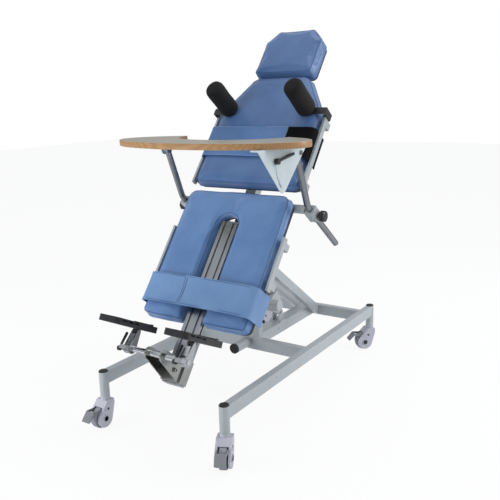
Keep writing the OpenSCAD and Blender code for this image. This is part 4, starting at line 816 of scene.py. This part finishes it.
def band(name, span, place, half, top, thick, materials, swaps=(), flare=0.0, lines=()):
    """A flat strap over a pad: a grid along the loop, thickened, with folded hems and stitching.

    span holds the x at which it starts and ends, or None for the end of the loop, and place its
    lower edge and its width. lines holds pairs of points (x, share of the width) between which
    a row of stitching runs.
    """
    low, width = place

    def surface(u, w):
        mid = strap_curve(u, half, top)
        flat = max(0.0, 1 - abs(mid.x / half) ** 4)
        wave = WAVE_H * math.sin(mid.x * 31 + 2) * math.sin(w * math.pi * 1.3 + mid.x * 9)
        hem = HEM_H if w < HEM_SHARE or w > 1 - HEM_SHARE else 0.0
        out = flat * (wave + flare * (0.5 - w) ** 2 * 4) + hem
        side = Vector((0, 0, 1))
        if abs(mid.x) > half * 0.9:
            side = (mid - Vector((0, 0, CROSS_BOTTOM))).normalized()
        return Vector((mid.x, low + w * width, mid.z)) + side * out, side

    bm = bmesh.new()
    bmesh.ops.create_grid(bm, x_segments=STRAP_PARTS[0], y_segments=STRAP_PARTS[1], size=0.5)
    cloth = bm.loops.layers.uv.new("cloth")
    for f in bm.faces:
        for loop in f.loops:
            loop[cloth].uv = ((loop.vert.co.x + 0.5) * STRAP_RUN, (loop.vert.co.y + 0.5) * width)
    first, last = (end if x is None else strap_share(x, half) for x, end in zip(span, (0.0, 1.0)))
    for v in bm.verts:
        v.co = surface(first + (last - first) * (v.co.x + 0.5), v.co.y + 0.5)[0]
    bmesh.ops.recalc_face_normals(bm, faces=bm.faces)
    bmesh.ops.solidify(bm, geom=list(bm.faces), thickness=-thick)
    for (xa, wa), (xb, wb) in lines:
        points = []
        for k in range(STITCH_PARTS + 1):
            share = strap_share(xa + (xb - xa) * k / STITCH_PARTS, half)
            at, side = surface(share, wa + (wb - wa) * k / STITCH_PARTS)
            points.append(at + side * (thick + 0.0002))
        add_bead(bm, points, STITCH_R, closed=False)
    bmesh.ops.transform(bm, matrix=TABLE, verts=bm.verts)
    piece(name, bm, materials, "table", 60, swaps)


def foam_pad(side):
    """An underarm pad: a spun foam roll with soft ends and a slightly uneven skin."""
    x = SUPPORT_X * (1 if side == "right" else -1)
    bm = bmesh.new()
    verts = [bm.verts.new((r, 0, z)) for r, z in FOAM_PROFILE]
    edges = [bm.edges.new(pair) for pair in zip(verts, verts[1:])]
    bmesh.ops.spin(bm, geom=verts + edges, cent=(0, 0, 0), axis=(0, 0, 1), angle=math.tau,
                   steps=48, use_merge=True)
    bmesh.ops.remove_doubles(bm, verts=bm.verts, dist=1e-5)
    bmesh.ops.subdivide_edges(bm, edges=[e for e in bm.edges if e.calc_length() > 0.02], cuts=3,
                              use_grid_fill=True)
    for v in bm.verts:
        r = v.co.xy.length
        if r > FOAM_CORE:
            n = noise.noise(v.co * 40.0 + Vector((x * 9, 0, 0))) * FOAM_UNEVEN
            v.co.xy *= (r + n) / r
    bmesh.ops.holes_fill(bm, edges=[e for e in bm.edges if e.is_boundary])
    bmesh.ops.recalc_face_normals(bm, faces=bm.faces)
    place = TABLE @ Matrix.Translation((x, SUPPORT_S, SUPPORT_T))
    bmesh.ops.transform(bm, matrix=place, verts=bm.verts)
    obj = piece("foam_pad_" + side, bm, [BLACK_FOAM], "support_" + side, 50,
                ["support_pad_" + side])


def tray():
    """The tray with a laminated face and an orange-brown lipping, its rims softly rounded."""
    end = math.asin((TRAY_BACK - OVAL_Y) / OVAL_L)
    cut_mid = TRAY_BACK + CUT_SET
    cut_end = math.asin((cut_mid - TRAY_BACK) / CUT_L)
    face = TRAY + Vector((0, 0, TRAY_TOP_Z))
    bm = bmesh.new()
    steps, across, rows = 96, 3, []
    for i in range(steps + 1):
        share = i / steps
        a = -math.pi - end + share * (math.pi + 2 * end)
        b = -math.pi + cut_end + share * (math.pi - 2 * cut_end)
        outer = Vector((TRAY_HALF * math.cos(a), OVAL_Y + OVAL_L * math.sin(a), 0))
        inner = Vector((CUT_HALF * math.cos(b), cut_mid + CUT_L * math.sin(b), 0))
        rows.append([bm.verts.new(face + outer.lerp(inner, k / across))
                     for k in range(across + 1)])
    for one, two in zip(rows, rows[1:]):
        for k in range(across):
            bm.faces.new((one[k], two[k], two[k + 1], one[k + 1]))
    drop_copy(bm, list(bm.faces), TRAY_T, use_keep_orig=True)
    sharp = math.radians(60)
    rims = [e for e in bm.edges if len(e.link_faces) == 2 and e.calc_face_angle() > sharp]
    round_edges(bm, rims, 0.002, 3)
    bm.normal_update()
    for f in bm.faces:
        f.material_index = 0 if abs(f.normal.z) > 0.8 else 1
    piece("tray", bm, [TRAY_TOP, TRAY_EDGE], "tray", 40, ["tray_board"])


def castor_trim(where):
    """A castor's hub caps and the small black plugs above them, on both cheeks."""
    px, py, turn = CASTORS[where]
    castor = Matrix.Translation((px, py, 0)) @ Matrix.Rotation(math.radians(turn), 4, "Z")
    bm = bmesh.new()
    for side in (-1, 1):
        for radius, y, z, out in CASTOR_CAPS:
            at = Matrix.Translation((side * (out + CAP_T / 2 - CAP_SUNK), y, z))
            facing = Matrix.Rotation(math.radians(90 * side), 4, "Y")
            made = bmesh.ops.create_cone(bm, cap_ends=True, segments=32, radius1=radius,
                                         radius2=radius * 0.93, depth=CAP_T,
                                         matrix=castor @ (at @ facing))
            faces = dict.fromkeys(f for v in made["verts"] for f in v.link_faces)
            bmesh.ops.inset_region(bm, faces=[f for f in faces if len(f.verts) > 4],
                                   thickness=radius * 0.28, depth=-CAP_DISH)
    piece("castor_caps_" + where, bm, [BLACK_PLASTIC], "castor_body_" + where, 30)


make_camera()
make_light()
make_floor()
dress_nodes()
pad("leg_pad", "leg", "leg_cushion", "table", 0.0, CUSHION_T, BLUE_VINYL)
pad("back_pad", "back", "back_cushion", "table", 0.0, CUSHION_T, SHADED_BACK_VINYL)
pad("head_pad", "head", "head_cushion", "head", HEAD_RISE, HEAD_T, SHADED_BACK_VINYL)
# The leg straps' stitching takes the dark seam colour, painted shade; the right strap's first row
# runs across its overlapped end as a painted shadow line.
band("leg_strap_left", (None, -0.020), (LEG_STRAP_S, LEG_STRAP_W), STRAP_HALF, 0.016, 0.0042,
     [STRAP_BLUE, SEAM_SHADE_BLUE], ["leg_strap"], flare=0.008,
     lines=[((-0.25, 0.96), (-0.08, 0.96)), ((-0.25, 0.04), (-0.08, 0.04))])
band("leg_strap_right", (-0.0705, None), (LEG_STRAP_S, LEG_STRAP_W), STRAP_HALF, 0.0215, 0.0042,
     [STRAP_BLUE, SEAM_SHADE_BLUE], flare=0.009,
     lines=[((-0.0695, 0.02), (-0.0695, 0.98)), ((-0.060, 0.05), (-0.060, 0.95)),
            ((-0.06, 0.95), (0.25, 0.95)), ((-0.06, 0.05), (0.25, 0.05))])
band("chest_strap_blue", (None, 0.150), (CHEST_STRAP_S, CHEST_STRAP_W), STRAP_HALF, 0.008, 0.0035,
     [SHADED_CHEST_BLUE, HEM_HIGHLIGHT_BLUE], ["chest_strap"],
     lines=[((-0.25, 0.985), (0.138, 0.985)), ((-0.25, 0.015), (0.138, 0.015))])
band("chest_strap_loop", (0.140, None), (CHEST_STRAP_S + 0.002, CHEST_STRAP_W - 0.004),
     STRAP_HALF + 0.001, 0.0095, 0.0035, [BLACK_LOOP])
for side in ("left", "right"):
    foam_pad(side)
tray()
for where in CASTORS:
    castor_trim(where)
